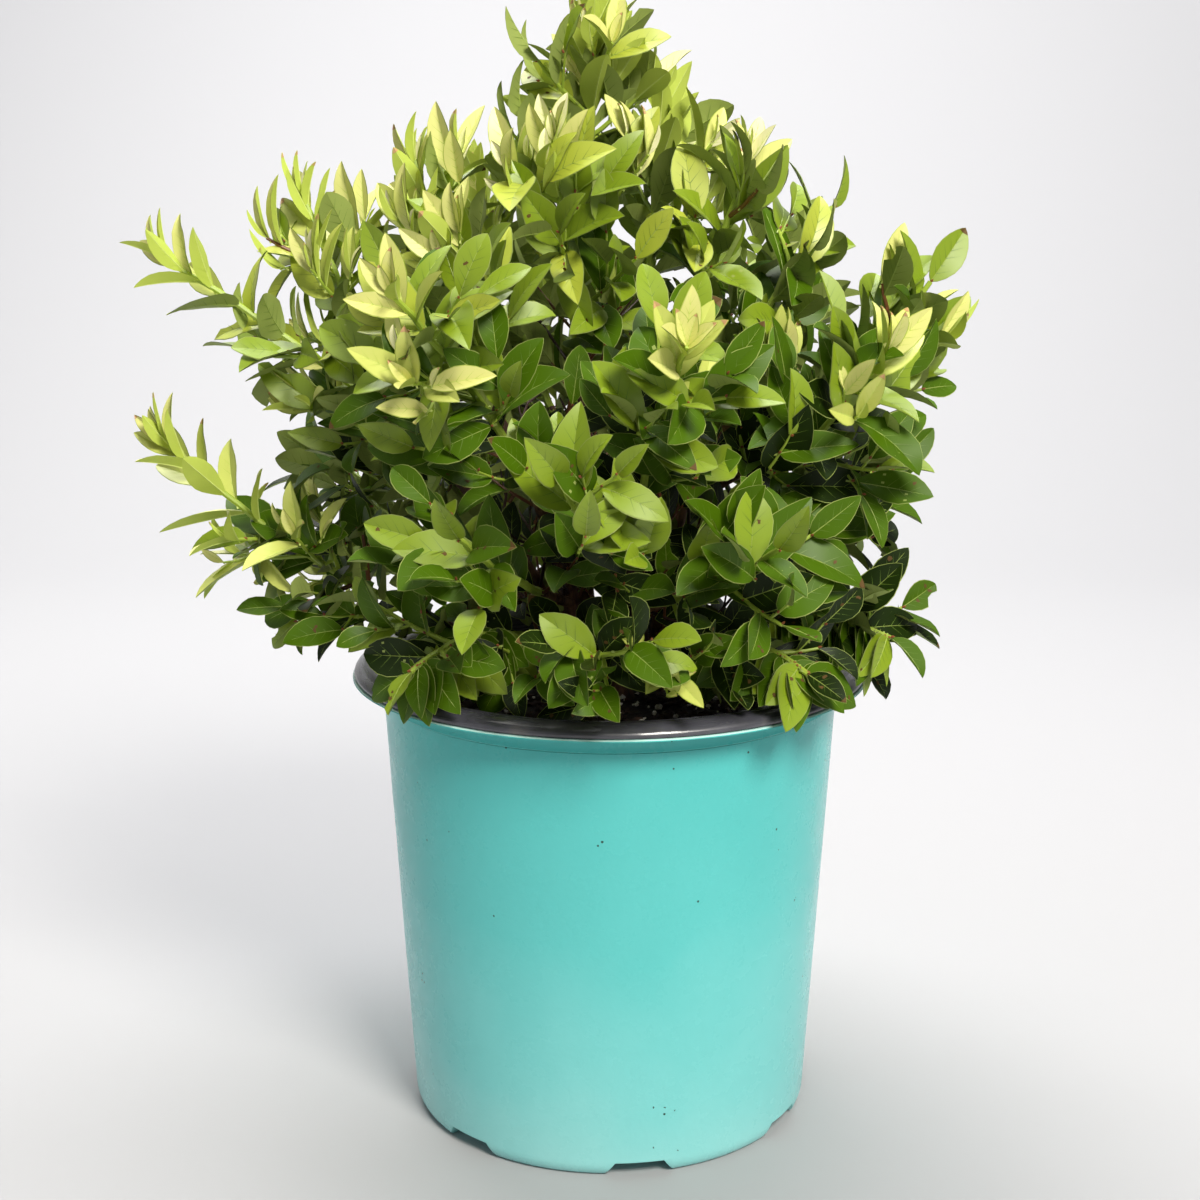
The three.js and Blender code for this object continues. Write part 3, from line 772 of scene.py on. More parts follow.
def bough_route(shoot, cane):
    _, _, _, _, fork, bend = shoot
    start = cane.point(share_below(cane, fork * mm))
    tip = tip_of(shoot)
    middle = start + 0.55 * (tip - start)
    middle[2] = start[2] + bend * 0.55 * (tip[2] - start[2]) + (26 if bend > 1 else 6) * mm
    return Route(start, middle, tip)


LEADER_SHARE = 0.7
LEADER_LENGTH_MIN = 90 * mm
LEADER_LENGTH_MAX = 165 * mm
FORK_TO_TIP = 16 * mm


def leafy_from(route):
    wanted = min(max(LEADER_SHARE * route.length, LEADER_LENGTH_MIN), LEADER_LENGTH_MAX)
    return 1 - wanted / route.length


# %% Limbs and leaders
limbs = []  # (cane, node it stands for, route, end share)
leaders = []  # (name, route, start share)
for cane in CANES:
    route = cane_route(cane)
    shoots = {name: row for name, row in SHOOTS.items() if row[0] == cane}
    highest_fork = max(row[4] for row in shoots.values()) * mm
    end = max(leafy_from(route), share_below(route, highest_fork + FORK_TO_TIP))
    limbs.append((cane, f"cane_{cane}", route, end))
    for name, row in shoots.items():
        mine, leafy = route, end
        if row[4] > 0:
            mine = bough_route(row, route)
            leafy = leafy_from(mine)
            limbs.append((cane, f"bough_{name}", mine, leafy))
        leaders.append((name, mine, leafy))
print(f"{len(limbs)} woody limbs and {len(leaders)} leafy leaders")

# %% [markdown]
# ## Woody limbs
#
# A limb could be a stack of cylinders, but a curve with a round bevel bends and tapers by
# itself: each point of the curve carries its own radius, so the root flare and the swelling
# at every old bud are a few numbers. The curve becomes a mesh, and two Displace modifiers raise
# the bark: long loose strips, and a fine crackle. A cane and its boughs are then joined,
# as they are one piece of wood.

# %% Limb radii
CANE_FOOT_RADIUS = 5.0 * mm
CANE_TIP_RADIUS = 2.5 * mm
ROOT_FLARE = 2.6 * mm
ROOT_FLARE_HEIGHT = 9 * mm
BOUGH_FOOT_RADIUS = 3.0 * mm
BOUGH_TIP_RADIUS = 2.0 * mm
BUD_SPACING = 17 * mm
BUD_SWELLING = 0.13
LIMB_STEP = 2.5 * mm  # from ring to ring along a limb


def limb_radius(node, share, length):
    if node.startswith("cane"):
        flare = ROOT_FLARE * math.exp(-share * length / ROOT_FLARE_HEIGHT)
        radius = CANE_FOOT_RADIUS + share * (CANE_TIP_RADIUS - CANE_FOOT_RADIUS) + flare
    else:
        radius = BOUGH_FOOT_RADIUS + share * (BOUGH_TIP_RADIUS - BOUGH_FOOT_RADIUS)
    swelling = max(0.0, math.cos(2 * math.pi * share * length / BUD_SPACING)) ** 6
    return radius * (1 + BUD_SWELLING * swelling)


# %% Model the limbs
def model_limb(node, route, end):
    clear_selection()
    bpy.ops.curve.primitive_nurbs_path_add()
    limb = bpy.context.object
    curve = limb.data
    curve.splines.clear()
    length = route.length * end
    count = max(12, round(length / LIMB_STEP))
    spline = curve.splines.new("POLY")
    spline.points.add(count - 1)
    for i, place in enumerate(route.stretch(0, end, count)):
        spline.points[i].co = (*place, 1)
        spline.points[i].radius = limb_radius(node, i / (count - 1), length) / mm
    curve.bevel_depth = mm
    curve.bevel_resolution = 6
    curve.use_fill_caps = True
    bpy.ops.object.convert(target="MESH")
    bpy.ops.object.mode_set(mode="EDIT")
    weld(0.01 * mm)
    for name, size, strength in (("strips", 5 * mm, 0.9 * mm), ("crackle", 1.3 * mm, 0.45 * mm)):
        apply_modifier(limb, "DISPLACE", texture=clouds(name, size), strength=strength, mid_level=0.5)
    bpy.ops.object.shade_smooth()
    return limb


# %% Bark
def old_bark():
    material = plain_material("old wood", "#452718", 0.75)
    place = object_place(material)
    stretched = {"Vector": place, "Scale": (1.0, 1.0, 0.28)}
    upright = add_node(material, "ShaderNodeMapping", stretched).outputs["Vector"]
    strips = noise(material, upright, 620.0, 5.0, 0.6)
    patches = noise(material, place, 70.0, 3.0)
    blend = combined(material, "MULTIPLY_ADD", strips, 0.55, patches)
    tinted(material, blend, (0.55, "#21120e"), (0.75, "#452718"), (0.95, "#7a583d"))
    bump(material, strips, 0.5 * mm)
    return material


old_wood = old_bark()
for cane in CANES:
    mine = [(node, route, end) for owner, node, route, end in limbs if owner == cane]
    wood = join([model_limb(*row) for row in mine])
    finish_piece(wood, f"wood_{cane}", old_wood, [row[0] for row in mine])

# %% [markdown]
# ## Own space
#
# Every mass of leaves keeps to its own space: the points that lie nearer to its own leader than
# to any other. A leaf that would leave it, touch a limb or run into the pot is turned about its
# stem, then made smaller, then left out. Distances are taken to short straight pieces of the
# leaders and limbs, all at once. Leaves stay a little above the lip, but those of six low shoots
# droop to it, and three of these, at the front corners and on the right, hang past it.

# %% Distances
def short_pieces(route, begin, end, count):
    points = route.stretch(begin, end, count + 1)
    return np.stack([points[:-1], points[1:]], axis=1)


def distances(points, pieces):
    """Distance of each point to each straight piece."""
    along = pieces[:, 1] - pieces[:, 0]
    offset = points[:, None, :] - pieces[None, :, 0]
    share = np.clip((offset * along).sum(2) / (along**2).sum(1), 0, 1)
    return np.linalg.norm(offset - share[..., None] * along, axis=2)


PIECES = 6
leader_pieces = np.concatenate([short_pieces(route, start, 1, PIECES) for _, route, start in leaders])
limb_pieces = np.concatenate([short_pieces(route, 0, end, PIECES) for _, _, route, end in limbs])
SPACE_MARGIN = 0.3 * mm
LIMB_CLEARANCE = 4.5 * mm
POT_CLEARANCE = 3 * mm
LIP_HEADROOM = 9 * mm
HANGING_DROOP = 26 * mm
HANGING_SHOOTS = {"south_west_low", "south_east_low", "east_low"}
DROOPING_SHOOTS = HANGING_SHOOTS | {"north_low", "north_east_low", "north_west_low"}


def clear_of_pot(points, own=None):
    """In the open mouth above the mix, above the lip, or past it where the shoot hangs over it."""
    name = None if own is None else leaders[own][0]
    radius = np.hypot(points[:, 0], points[:, 1])
    height = points[:, 2] - POT_HEIGHT
    clear = (radius < SKIRT_INNER - POT_CLEARANCE) & (points[:, 2] > SOIL_TOP + 2 * POT_CLEARANCE)
    clear |= height > (POT_CLEARANCE if name in DROOPING_SHOOTS else LIP_HEADROOM)
    if name in HANGING_SHOOTS:
        clear |= (radius > LIP_RADIUS + POT_CLEARANCE) & (height > -HANGING_DROOP)
    return bool(clear.all())


def in_own_space(points, own):
    nearest = distances(points, leader_pieces).reshape(len(points), -1, PIECES).min(2)
    mine = nearest[:, own] + 2 * SPACE_MARGIN
    nearest[:, own] = np.inf
    return bool(np.all(nearest.min(1) > mine))


def clear_of_limbs(points):
    return bool(distances(points, limb_pieces).min() > LIMB_CLEARANCE)

# %% [markdown]
# ## One leaf, modelled once
#
# A blueberry leaf is an ellipse with a short point, folded a little along a pale midrib. The
# blade starts as a grid whose columns are slid to their share of the length and narrowed to the
# outline, with both ends merged to a point. It stays flat and one unit long, because every copy
# gets its own size, fold and curl. Five blades are enough: three grown ones that are widest at
# different shares of their length, the narrow one of new growth, and one that is bitten.

# %% Model the blades
BLADE_SHARES = (0.06, 0.16, 0.3, 0.45, 0.6, 0.74, 0.86, 0.95)


def blade_outline(widest):
    """Share of the length and width, for a blade that is widest at the given share."""
    drawn = math.log(0.5) / math.log(widest)
    return [(share, math.sin(math.pi * share**drawn) ** 0.8) for share in BLADE_SHARES]


def model_blade(outline):
    """The blade's points, as share of the length, across and lift, and its faces."""
    clear_selection()
    columns = len(outline) + 1
    bpy.ops.mesh.primitive_grid_add(x_subdivisions=columns, y_subdivisions=4, size=1, location=(0.5, 0, 0))
    blade = bpy.context.object
    bpy.ops.object.transform_apply(location=True, rotation=True, scale=True)
    bpy.ops.object.mode_set(mode="EDIT")
    for i, (share, width) in reversed(list(enumerate(outline, 1))):
        column = i / columns
        pick(blade, lambda spot: abs(spot.x - column) < 1e-4)
        bpy.ops.transform.resize(value=(1, width, 1), center_override=(column, 0, 0))
        bpy.ops.transform.translate(value=(share - column, 0, 2 + i))
    for end in (0, 1):
        pick(blade, lambda spot: abs(spot.x - end) < 1e-4 and spot.z < 1)
        bpy.ops.mesh.merge(type="CENTER")
    bpy.ops.mesh.select_all(action="SELECT")
    bpy.ops.transform.resize(value=(1, 1, 0), center_override=(0, 0, 0))
    bpy.ops.object.mode_set(mode="OBJECT")
    return taken_apart(blade)


def bitten(points, faces):
    """The same blade with a bite out of one edge."""
    points = points.copy()
    bite = (points[:, 1] < -0.3) & (np.abs(points[:, 0] - 0.66) < 0.12)
    points[bite, 1] *= 0.5
    return points, faces


WIDEST = {"elliptic": 0.47, "ovate": 0.4, "obovate": 0.56, "narrow": 0.5}
OUTLINES = {name: blade_outline(widest) for name, widest in WIDEST.items()}
BLADES = {name: model_blade(outline) for name, outline in OUTLINES.items()}
OUTLINES["bitten"] = OUTLINES["elliptic"]
BLADES["bitten"] = bitten(*BLADES["elliptic"])
for name, (points, faces) in BLADES.items():
    print(f"{name} blade: {len(faces)} faces")

# %% [markdown]
# ## Bending a blade
#
# Every copy of a blade is bent by the same few numbers: its edges are folded up from the
# midrib, it curls down along its length as an arc, twists a little, and its edges wave. The
# midrib and the side veins go through the same bend, so they stay on the blade.

# %% A leaf
class Leaf:
    def __init__(self, root, along, up, length, width):
        self.root, self.along, self.up = root, along, up
        self.across = np.cross(up, along)
        self.length, self.width, self.blade = length, width, "elliptic"
        self.fold, self.curl, self.twist, self.wave = 0.2, 0.4, 0.0, 0.0
        self.tint, self.flushed = "mid", False

    def place(self, local):
        """Points given as share of the length, across and lift, bent and put in place."""
        share, side, lift = local.T
        y = side * self.width
        rise = lift + np.abs(y) * self.fold + self.wave * np.sin(9 * share) * np.abs(side) * self.width
        turn = self.twist * share
        y, rise = y * np.cos(turn) - rise * np.sin(turn), y * np.sin(turn) + rise * np.cos(turn)
        bend = self.curl * share
        x = self.length * np.sin(bend) / self.curl + rise * np.sin(bend)
        z = self.length * (np.cos(bend) - 1) / self.curl + rise * np.cos(bend)
        return self.root + np.outer(x, self.along) + np.outer(y, self.across) + np.outer(z, self.up)


PROBES = np.array(
    [(0.3, -0.4, 0), (0.3, 0.4, 0), (0.5, -0.5, 0), (0.5, 0, 0), (0.5, 0.5, 0)]
    + [(0.75, -0.35, 0), (0.75, 0, 0), (0.75, 0.35, 0), (1, 0, 0)]
)

# %% [markdown]
# ## Twigs and leaves
#
# Leaves stand along a stem in a spiral of 137.5 degrees, the golden angle, which keeps each leaf
# out of the shade of the last. They lean out less and less towards the tip. Each leader carries
# side twigs by the same spiral, each side twig carries finer ones, and short spurs stand on the
# woody limbs, some of them old and bare inside the crown. Many shoots end in this spring's
# growth, whose leaves are narrow, crowded and nearly upright. A leaf keeps clear of all leaves
# that are there already, and ends at most a little past the tip of its shoot.

# %% Growing constants
LEAF_LENGTH = 41 * mm
LEAF_SHAPE = 0.46  # width as a share of the length
FRESH_SHAPE = 0.34
LEAF_SPACING = 10.5 * mm
LEADER_SPACING = 12 * mm
TOWARDS_LIGHT = np.array([0.0, -0.3, 0.0])  # most leaves turn a little to the front
LEAF_APART = 1.7 * mm
CROWDING = 2.0  # new growth bears so many times more leaves, and most of them near its tip
GOLDEN_ANGLE = math.radians(137.5)
REACH_MIN = 100 * mm
OVERREACH = 20 * mm
TWIG_SPACING = 11.5 * mm
TWIG_LENGTH = 60 * mm
LEAFY_TWIG_END = 0.8  # past this share of a leader its stem stands free, with leaves alone
SPARSE_TWIG_END = 0.62
FINE_SHARES = (0.28, 0.52, 0.76)
# Turns about the stem and sizes that a leaf tries in order, until it finds room.
LEAF_TRIES = [(0, 1), (0.9, 1), (-0.9, 1), (0, 0.85), (1.8, 0.95), (-1.8, 0.95), (3.1, 0.9), (0.9, 0.75)]

# Shoots that end in this spring's new growth. On the first of them the side twigs do so too.
FRESH_SHOOTS = {"summit", "west_low", "west_top", "top_west", "top_north_west", "top_south"}
FRESH_SHOOTS |= {"top_back", "north_high"}
FRESH_TIPS = {"south_high", "south_east_high", "south_west_high", "top_south_east", "west_high"}
FRESH, FRESH_TIP, GROWN = 0.42, 0.6, 1.0  # the share of a stem that its new growth begins at
SPARSE_SHOOTS = {"west_high", "west_low"}

# Tints of grown leaves, from the shade inside the crown to the open outside.
GROWN_TINTS = ["deep", "dark", "mid", "olive"]
TINT_STEPS = 5  # so many steps of tint lie between no light and full light
GROWN_BLADES = ["elliptic", "ovate", "obovate"]
SHADE_TINTS = ["deep", "dark"]
FRESH_TINTS = ["young", "fresh", "pale"]

leaves = []
stems = []  # (kind, points, radii)
taken = {"middles": np.zeros((0, 3)), "probes": np.zeros((0, len(PROBES), 3))}


# %% Placing one leaf
def apart(probes, gap):
    near = np.linalg.norm(taken["middles"] - probes[3], axis=1) < 1.3 * LEAF_LENGTH
    if not near.any():
        return True
    gaps = taken["probes"][near].reshape(-1, 1, 3) - probes[None]
    return bool(np.linalg.norm(gaps, axis=2).min() > gap)


def reach_of(points):
    """How far from the pot's axis the points get."""
    return np.hypot(points[..., 0], points[..., 1]).max()


def reach_limit(route):
    """Leaves end a little past the tip of the limb or leader that they grow on."""
    return max(REACH_MIN, reach_of(route.tip) + OVERREACH)


def fits(leaf, own, gap):
    probes = leaf.place(PROBES)
    if not (clear_of_pot(probes, own) and clear_of_limbs(probes) and apart(probes, gap)):
        return False
    if own is None:
        return True
    return reach_of(probes) < reach_limit(leaders[own][1]) and in_own_space(probes, own)


def keep(leaf):
    probes = leaf.place(PROBES)
    taken["middles"] = np.vstack([taken["middles"], probes[3]])
    taken["probes"] = np.concatenate([taken["probes"], probes[None]])
    leaves.append(leaf)


# %% Shaping one leaf
def outwards_at(point):
    """The level direction from the pot's axis to a point."""
    return unit(np.array([point[0], point[1], 0.0]))


def square_to(direction, up):
    return unit(up - direction * up.dot(direction))


def leaning(stem, along, turn, lean):
    """A direction that leans out from a stem, after a turn about it."""
    heading, side, normal = stem.frame(along)
    out = side * math.cos(turn) + normal * math.sin(turn)
    return heading * math.cos(lean) + out * math.sin(lean)


def make_leaf(stem, along, turn, lean, length, shape, lift, wobble):
    direction = leaning(stem, along, turn, lean)
    direction[2] += lift + 0.1 * (wobble[0] - 0.5)
    direction = unit(direction)
    root = stem.point(along)
    up = 0.5 * stem.heading(along) + 0.9 * outwards_at(root) + TOWARDS_LIGHT
    up += [wobble[1] - 0.5, wobble[2] - 0.5, 0.45 + 0.5 * wobble[3]]
    leaf = Leaf(root, direction, square_to(direction, up), length, shape * length)
    leaf.fold = 0.15 + 0.42 * wobble[4]
    leaf.curl = 0.15 + 0.8 * wobble[5]
    leaf.twist = 0.7 * (wobble[2] - 0.5)
    leaf.wave = 0.12 * wobble[0]
    return leaf


# %% Tints by place
LOWER_CROWN = 80 * mm  # from the lip up, where leaves are smaller and their tints painted darker, as painted shade
UPPER_CROWN = 160 * mm  # from there up, where more leaves are new growth and grown tints are painted lighter, as painted light
CROWN_REACH = 170 * mm


def lowness(height):
    """1 at the pot's lip, falling to 0 where the crown's leaves have their full size."""
    return min(1.0, max(0.0, 1 - (height - POT_HEIGHT) / LOWER_CROWN))


def highness(height):
    """0 in the lower part of the crown, rising to 1 near its top."""
    return min(1.0, max(0.0, (height - POT_HEIGHT - LOWER_CROWN) / UPPER_CROWN))


def exposure_of(point):
    """How much light a point in the crown gets, from 0 deep inside to 1 at the open top."""
    # Leaf tints paint this light and shade in: lighter towards the outside, the top, the front and the left,
    # and darker inside and low at the front.
    reach = math.hypot(point[0], point[1]) / CROWN_REACH
    high = highness(point[2])
    side = max(0.0, -point[0]) / CROWN_REACH * (1 - high)
    front = max(0.0, -point[1]) / CROWN_REACH * (1 - 0.85 * lowness(point[2]))
    return min(1.0, 0.16 * reach**2 + 0.14 * side + max(0.64 * high, 0.38 * front))


def step_of(tints, level):
    return tints[int(min(max(level, 0), len(tints) - 1))]


def leaf_tint(point, freshness, draw):
    """Grown leaves are painted darker inwards, as painted shade, and new growth turns paler towards
    its tip and is painted paler higher up, as painted light.
    """
    if freshness > 0:
        return step_of(FRESH_TINTS, 1.2 * freshness + highness(point[2]) + 0.8 * draw - 0.3)
    return step_of(GROWN_TINTS, exposure_of(point) * TINT_STEPS + 1.6 * (draw - 0.5))


# %% Leaves along a stem
def leaves_along(stem, begin, own, first_turn, scale, fresh, random, spacing=LEAF_SPACING):
    """Sets leaves along a stem, fresh ones past a share of it, and returns the share of it that
    reaches the last of them."""
    reached = 0.0
    span = stem.length * (1 - begin)
    crowding = CROWDING if fresh < GROWN else 1.0
    count = max(2, round(crowding * span / spacing))
    for i in range(1, count + 1):
        last = i == count
        share = i / count
        place = 0.98 if last else (i - 0.4) / count
        along = begin + (1 - begin) * (1 - (1 - place) ** crowding)
        freshness = (share - fresh) / (1 - fresh) if share > fresh else 0.0
        height = stem.point(along)[2]
        low = lowness(height)
        size = scale * LEAF_LENGTH * (0.82 + 0.26 * random()) * (0.84 if last else 1)
        size *= (1 - 0.5 * freshness) * (1 - 0.32 * low)
        lean = 0.16 if last else (1.0 - 0.36 * share) * (1 - 0.35 * freshness)
        shape = LEAF_SHAPE * (0.9 + 0.2 * random()) * (1 + 0.22 * low) if freshness == 0 else FRESH_SHAPE
        turn = first_turn + i * GOLDEN_ANGLE
        wobble = [random() for _ in range(6)]
        draw = random()
        lift = 0.45 * freshness + 0.2 * highness(height)
        for twist, smaller in LEAF_TRIES:
            leaf = make_leaf(stem, along, turn + twist, lean, size * smaller, shape, lift, wobble)
            if fits(leaf, own, LEAF_APART * (1 - 0.6 * freshness)):
                break
        else:
            continue
        leaf.tint = leaf_tint(leaf.root, freshness, draw)
        leaf.flushed = draw < (0.55 * freshness if freshness > 0 else 0.07)
        if freshness > 0:
            leaf.blade, leaf.fold, leaf.curl = "narrow", 0.3 + 0.4 * wobble[4], 0.05 + 0.5 * wobble[5]
        else:
            leaf.blade = "bitten" if draw > 0.93 else GROWN_BLADES[int(3 * wobble[1])]
        keep(leaf)
        reached = along
    return reached


# %% Side twigs
def side_twig(stem, along, turn, length, lean=0.95):
    start = stem.point(along)
    direction = leaning(stem, along, turn, lean)
    middle = start + 0.5 * length * direction
    tip = start + 0.88 * length * direction
    tip[2] += 0.12 * length
    return Route(start, middle, tip)


def twig_fits(twig, own):
    points = twig.stretch(0.3, 1, 3)
    clear = clear_of_pot(points, own) and clear_of_limbs(points)
    return clear and (own is None or in_own_space(points, own))


def add_stem(kind, route, begin, end, foot_radius, tip_radius, rings, random):
    """A thin stem that wavers a little from node to node."""
    points = route.stretch(begin, end, rings)
    waver = np.array([[random() - 0.5 for _ in range(3)] for _ in range(rings)])
    points[1:-1] += 0.5 * foot_radius * waver[1:-1]
    stems.append((kind, points, np.linspace(foot_radius, tip_radius, rings)))


# %% Leaves that droop
DROOPING_LEAVES = 30
DROOPING_TRIES = 12
DROOPING_SHAPE = 0.56


def droop_leaves(own):
    """Leaves that droop from a low shoot, over the lip where the shoot hangs past it."""
    random = seeded(901 + own)
    _, route, start = leaders[own]
    for i in range(DROOPING_LEAVES):
        root = route.point(start + (1 - start) * (0.25 + 0.72 * (i + 0.5) / DROOPING_LEAVES))
        outwards = outwards_at(root)
        sideways = np.array([-outwards[1], outwards[0], 0.0])
        for _ in range(DROOPING_TRIES):
            spread = 2.6 * (random() - 0.5) * sideways
            direction = unit((0.7 * random() - 0.1) * outwards + spread + [0, 0, -0.4 - 0.7 * random()])
            up = square_to(direction, outwards + [0, 0, 0.5])
            length = LEAF_LENGTH * (0.6 + 0.3 * random())
            leaf = Leaf(root, direction, up, length, DROOPING_SHAPE * length)
            leaf.fold, leaf.curl = 0.1 + 0.2 * random(), 0.2 + 0.4 * random()
            if fits(leaf, own, LEAF_APART):
                # Drooping leaves low by the lip take darker tints, as painted shade.
                leaf.tint = ["dark", "mid", "dark"][int(3 * random())]
                leaf.blade = "ovate"
                keep(leaf)
                break


for own, (name, _, _) in enumerate(leaders):
    if name in DROOPING_SHOOTS:
        droop_leaves(own)
print(f"{len(leaves)} drooping leaves")

# %% Grow the masses
def grow_fine_twigs(twig, length, own, first_turn, fresh, random):
    """Sets finer twigs along a twig, and returns the share of it that reaches the last of them."""
    reached = 0.0
    for j, share in enumerate(FINE_SHARES):
        fine_length = length * (0.55 - 0.09 * j)
        fine = side_twig(twig, share, first_turn + (j + 1) * GOLDEN_ANGLE, fine_length, 0.8)
        if fine_length < 16 * mm or not twig_fits(fine, own):
            continue
        end = leaves_along(fine, 0.2, own, first_turn, 0.85, fresh, random)
        if end > 0:
            add_stem("green", fine, 0, end, 0.75 * mm, 0.5 * mm, 5, random)
            reached = share
    return reached


def grow_mass(own):
    name, route, start = leaders[own]
    random = seeded(101 + own)
    fresh = name in FRESH_SHOOTS
    twigs_end = SPARSE_TWIG_END if name in SPARSE_SHOOTS else LEAFY_TWIG_END
    fresh_from = FRESH if fresh else FRESH_TIP if name in FRESH_TIPS else GROWN
    end = leaves_along(route, start, own, 6 * random(), 1.0, fresh_from, random, LEADER_SPACING)
    twig_count = round(route.length * (1 - start) * twigs_end / LEAFY_TWIG_END / TWIG_SPACING)
    for i in range(twig_count):
        share = (i + 0.35) / twig_count
        along = start + (1 - start) * share * twigs_end
        length = TWIG_LENGTH * (1.05 - 0.5 * share) * (0.85 + 0.3 * random())
        twig = side_twig(route, along, i * GOLDEN_ANGLE + 1.9, length)
        chance = 0.4 + 0.5 * share if fresh else 0.04 + 0.16 * highness(twig.tip[2])
        twig_fresh = FRESH if random() < chance else GROWN
        first_turn = 6 * random()
        if not twig_fits(twig, own):
            continue
        twig_end = leaves_along(twig, 0.15, own, first_turn, 0.95, twig_fresh, random)
        twig_end = max(twig_end, grow_fine_twigs(twig, length, own, first_turn, twig_fresh, random))
        kind = "red" if random() < 0.08 else "green"
        if twig_end > 0:
            add_stem(kind, twig, 0, twig_end, 1.3 * mm, 0.8 * mm, 7, random)
            end = max(end, along)
    add_stem("green", route, start - 0.02, end, 2.2 * mm, 1.3 * mm, 16, random)


for own in range(len(leaders)):
    grow_mass(own)
print(f"{len(leaves)} leaves on {len(stems)} green stems")


# %% Grow the spurs
SPUR_SPACING = 11.5 * mm
SPUR_LENGTH = 42 * mm
SHADED_REACH = 96 * mm  # spurs nearer to the pot's axis than this are old, and some are bare


def grow_spurs(index):
    _, _, route, end = limbs[index]
    random = seeded(501 + index)
    count = round(route.length * end / SPUR_SPACING)
    for i in range(count):
        along = end * (0.14 + 0.83 * (i + 0.5) / count)
        may_be_bare = random() < 0.4
        length = SPUR_LENGTH * (0.7 + 0.6 * random())
        spur = side_twig(route, along, i * GOLDEN_ANGLE + index, length, 0.85)
        first_turn = 6 * random()
        young = reach_of(spur.tip) > SHADED_REACH
        bare = may_be_bare and not young
        if not clear_of_pot(spur.stretch(0.3, 1, 3)) or spur.tip[2] < SOIL_TOP + 12 * mm:
            continue
        if reach_of(spur.tip) + 0.5 * LEAF_LENGTH > reach_limit(route):
            continue
        spur_end = 1.0 if bare else leaves_along(spur, 0.3, None, first_turn, 0.86, GROWN, random)
        if spur_end > 0:
            kind = "dead" if bare else "green" if young else "red"
            add_stem(kind, spur, 0, spur_end, 0.95 * mm, 0.5 * mm, 6, random)
        if bare:
            for share in (0.45, 0.7):
                fork = side_twig(spur, share, first_turn + 9 * share, 0.35 * length, 0.6)
                add_stem("dead", fork, 0, 1, 0.6 * mm, 0.35 * mm, 4, random)


for index in range(len(limbs)):
    grow_spurs(index)
print(f"{len(leaves)} leaves on {len(stems)} stems with the spurs")
for tint in GROWN_TINTS + FRESH_TINTS:
    print(f"{tint}: {sum(leaf.tint == tint for leaf in leaves)} leaves")

# %% A tube along a line
STEM_GUIDE = np.array([0.31, 0.17, 0.94])  # no stem runs quite this way


def tube(points, radii, sides, guide=STEM_GUIDE):
    """Rings round a line of points, closed at both ends. The first corner of each ring lies
    towards the guide."""
    headings = np.gradient(points, axis=0)
    headings /= np.linalg.norm(headings, axis=1)[:, None]
    side = guide - headings * (headings @ guide)[:, None]
    side /= np.linalg.norm(side, axis=1)[:, None]
    other = np.cross(headings, side)
    turns = np.arange(sides) * 2 * math.pi / sides
    ring = np.cos(turns)[None, :, None] * side[:, None] + np.sin(turns)[None, :, None] * other[:, None]
    corners = points[:, None] + np.asarray(radii)[:, None, None] * ring
    faces = []
    for i in range(len(points) - 1):
        for j in range(sides):
            a, b = i * sides + j, i * sides + (j + 1) % sides
            faces.append((a, b, b + sides, a + sides))
    end = (len(points) - 1) * sides
    faces.append(tuple(reversed(range(sides))))
    faces.append(tuple(range(end, end + sides)))
    return corners.reshape(-1, 3), faces


# %% [markdown]
# ## Leaf finishes
#
# The upper side is leathery with a soft gloss. The underside is dull and greyer, and stands a
# little past the upper side all round, which shows as the thin pale margin that blueberry
# leaves have. Some leaves carry brown spots, more of them low down where the foliage stays damp.
# The colours are plain ones, dealt out by where a leaf stands, and they paint in the crown's
# light and shade: deep greens inside the crown and low down are painted shade, and brighter ones
# at the top, the front and the left are painted light. The tips that are still growing are
# yellow-green, where many leaves end in a touch of pink.

# %% Leaf materials
LEAF_PAINTS = {
    "deep": "#182802",
    "dark": "#446206",
    "mid": "#7e951b",
    "olive": "#a7b23a",
    "young": "#c5cc69",
    "fresh": "#d9d985",
    "pale": "#e6e2b2",
}
BLADE_THICKNESS = 0.25 * mm
MARGIN = 0.4 * mm
MIDRIB_CREASE = 14  # degrees; a blade folded more than this shows a sharp midrib
masses = [f"leaves_{name}" for name, _, _ in leaders]

upper = {tint: Pile() for tint in LEAF_PAINTS}
under, ribs, veins = ({"grown": Pile(), "fresh": Pile()} for _ in range(3))

RIB_SHARES = np.array([-0.075, 0.0, 0.2, 0.4, 0.6, 0.8, 0.95])
RIB_RADII = np.array([0.55, 0.5, 0.42, 0.36, 0.3, 0.25, 0.1]) * mm
VEIN_ROOTS = (0.14, 0.28, 0.42, 0.56, 0.7)
VEIN_RUN = 0.17  # how far a vein runs towards the tip, as a share of the length
VEIN_FOOT = 0.012
SPOT_CORNERS = 7


def half_width(blade, share):
    shares, widths = zip((0, 0), *OUTLINES[blade], (1, 0))
    return 0.5 * np.interp(share, shares, widths)


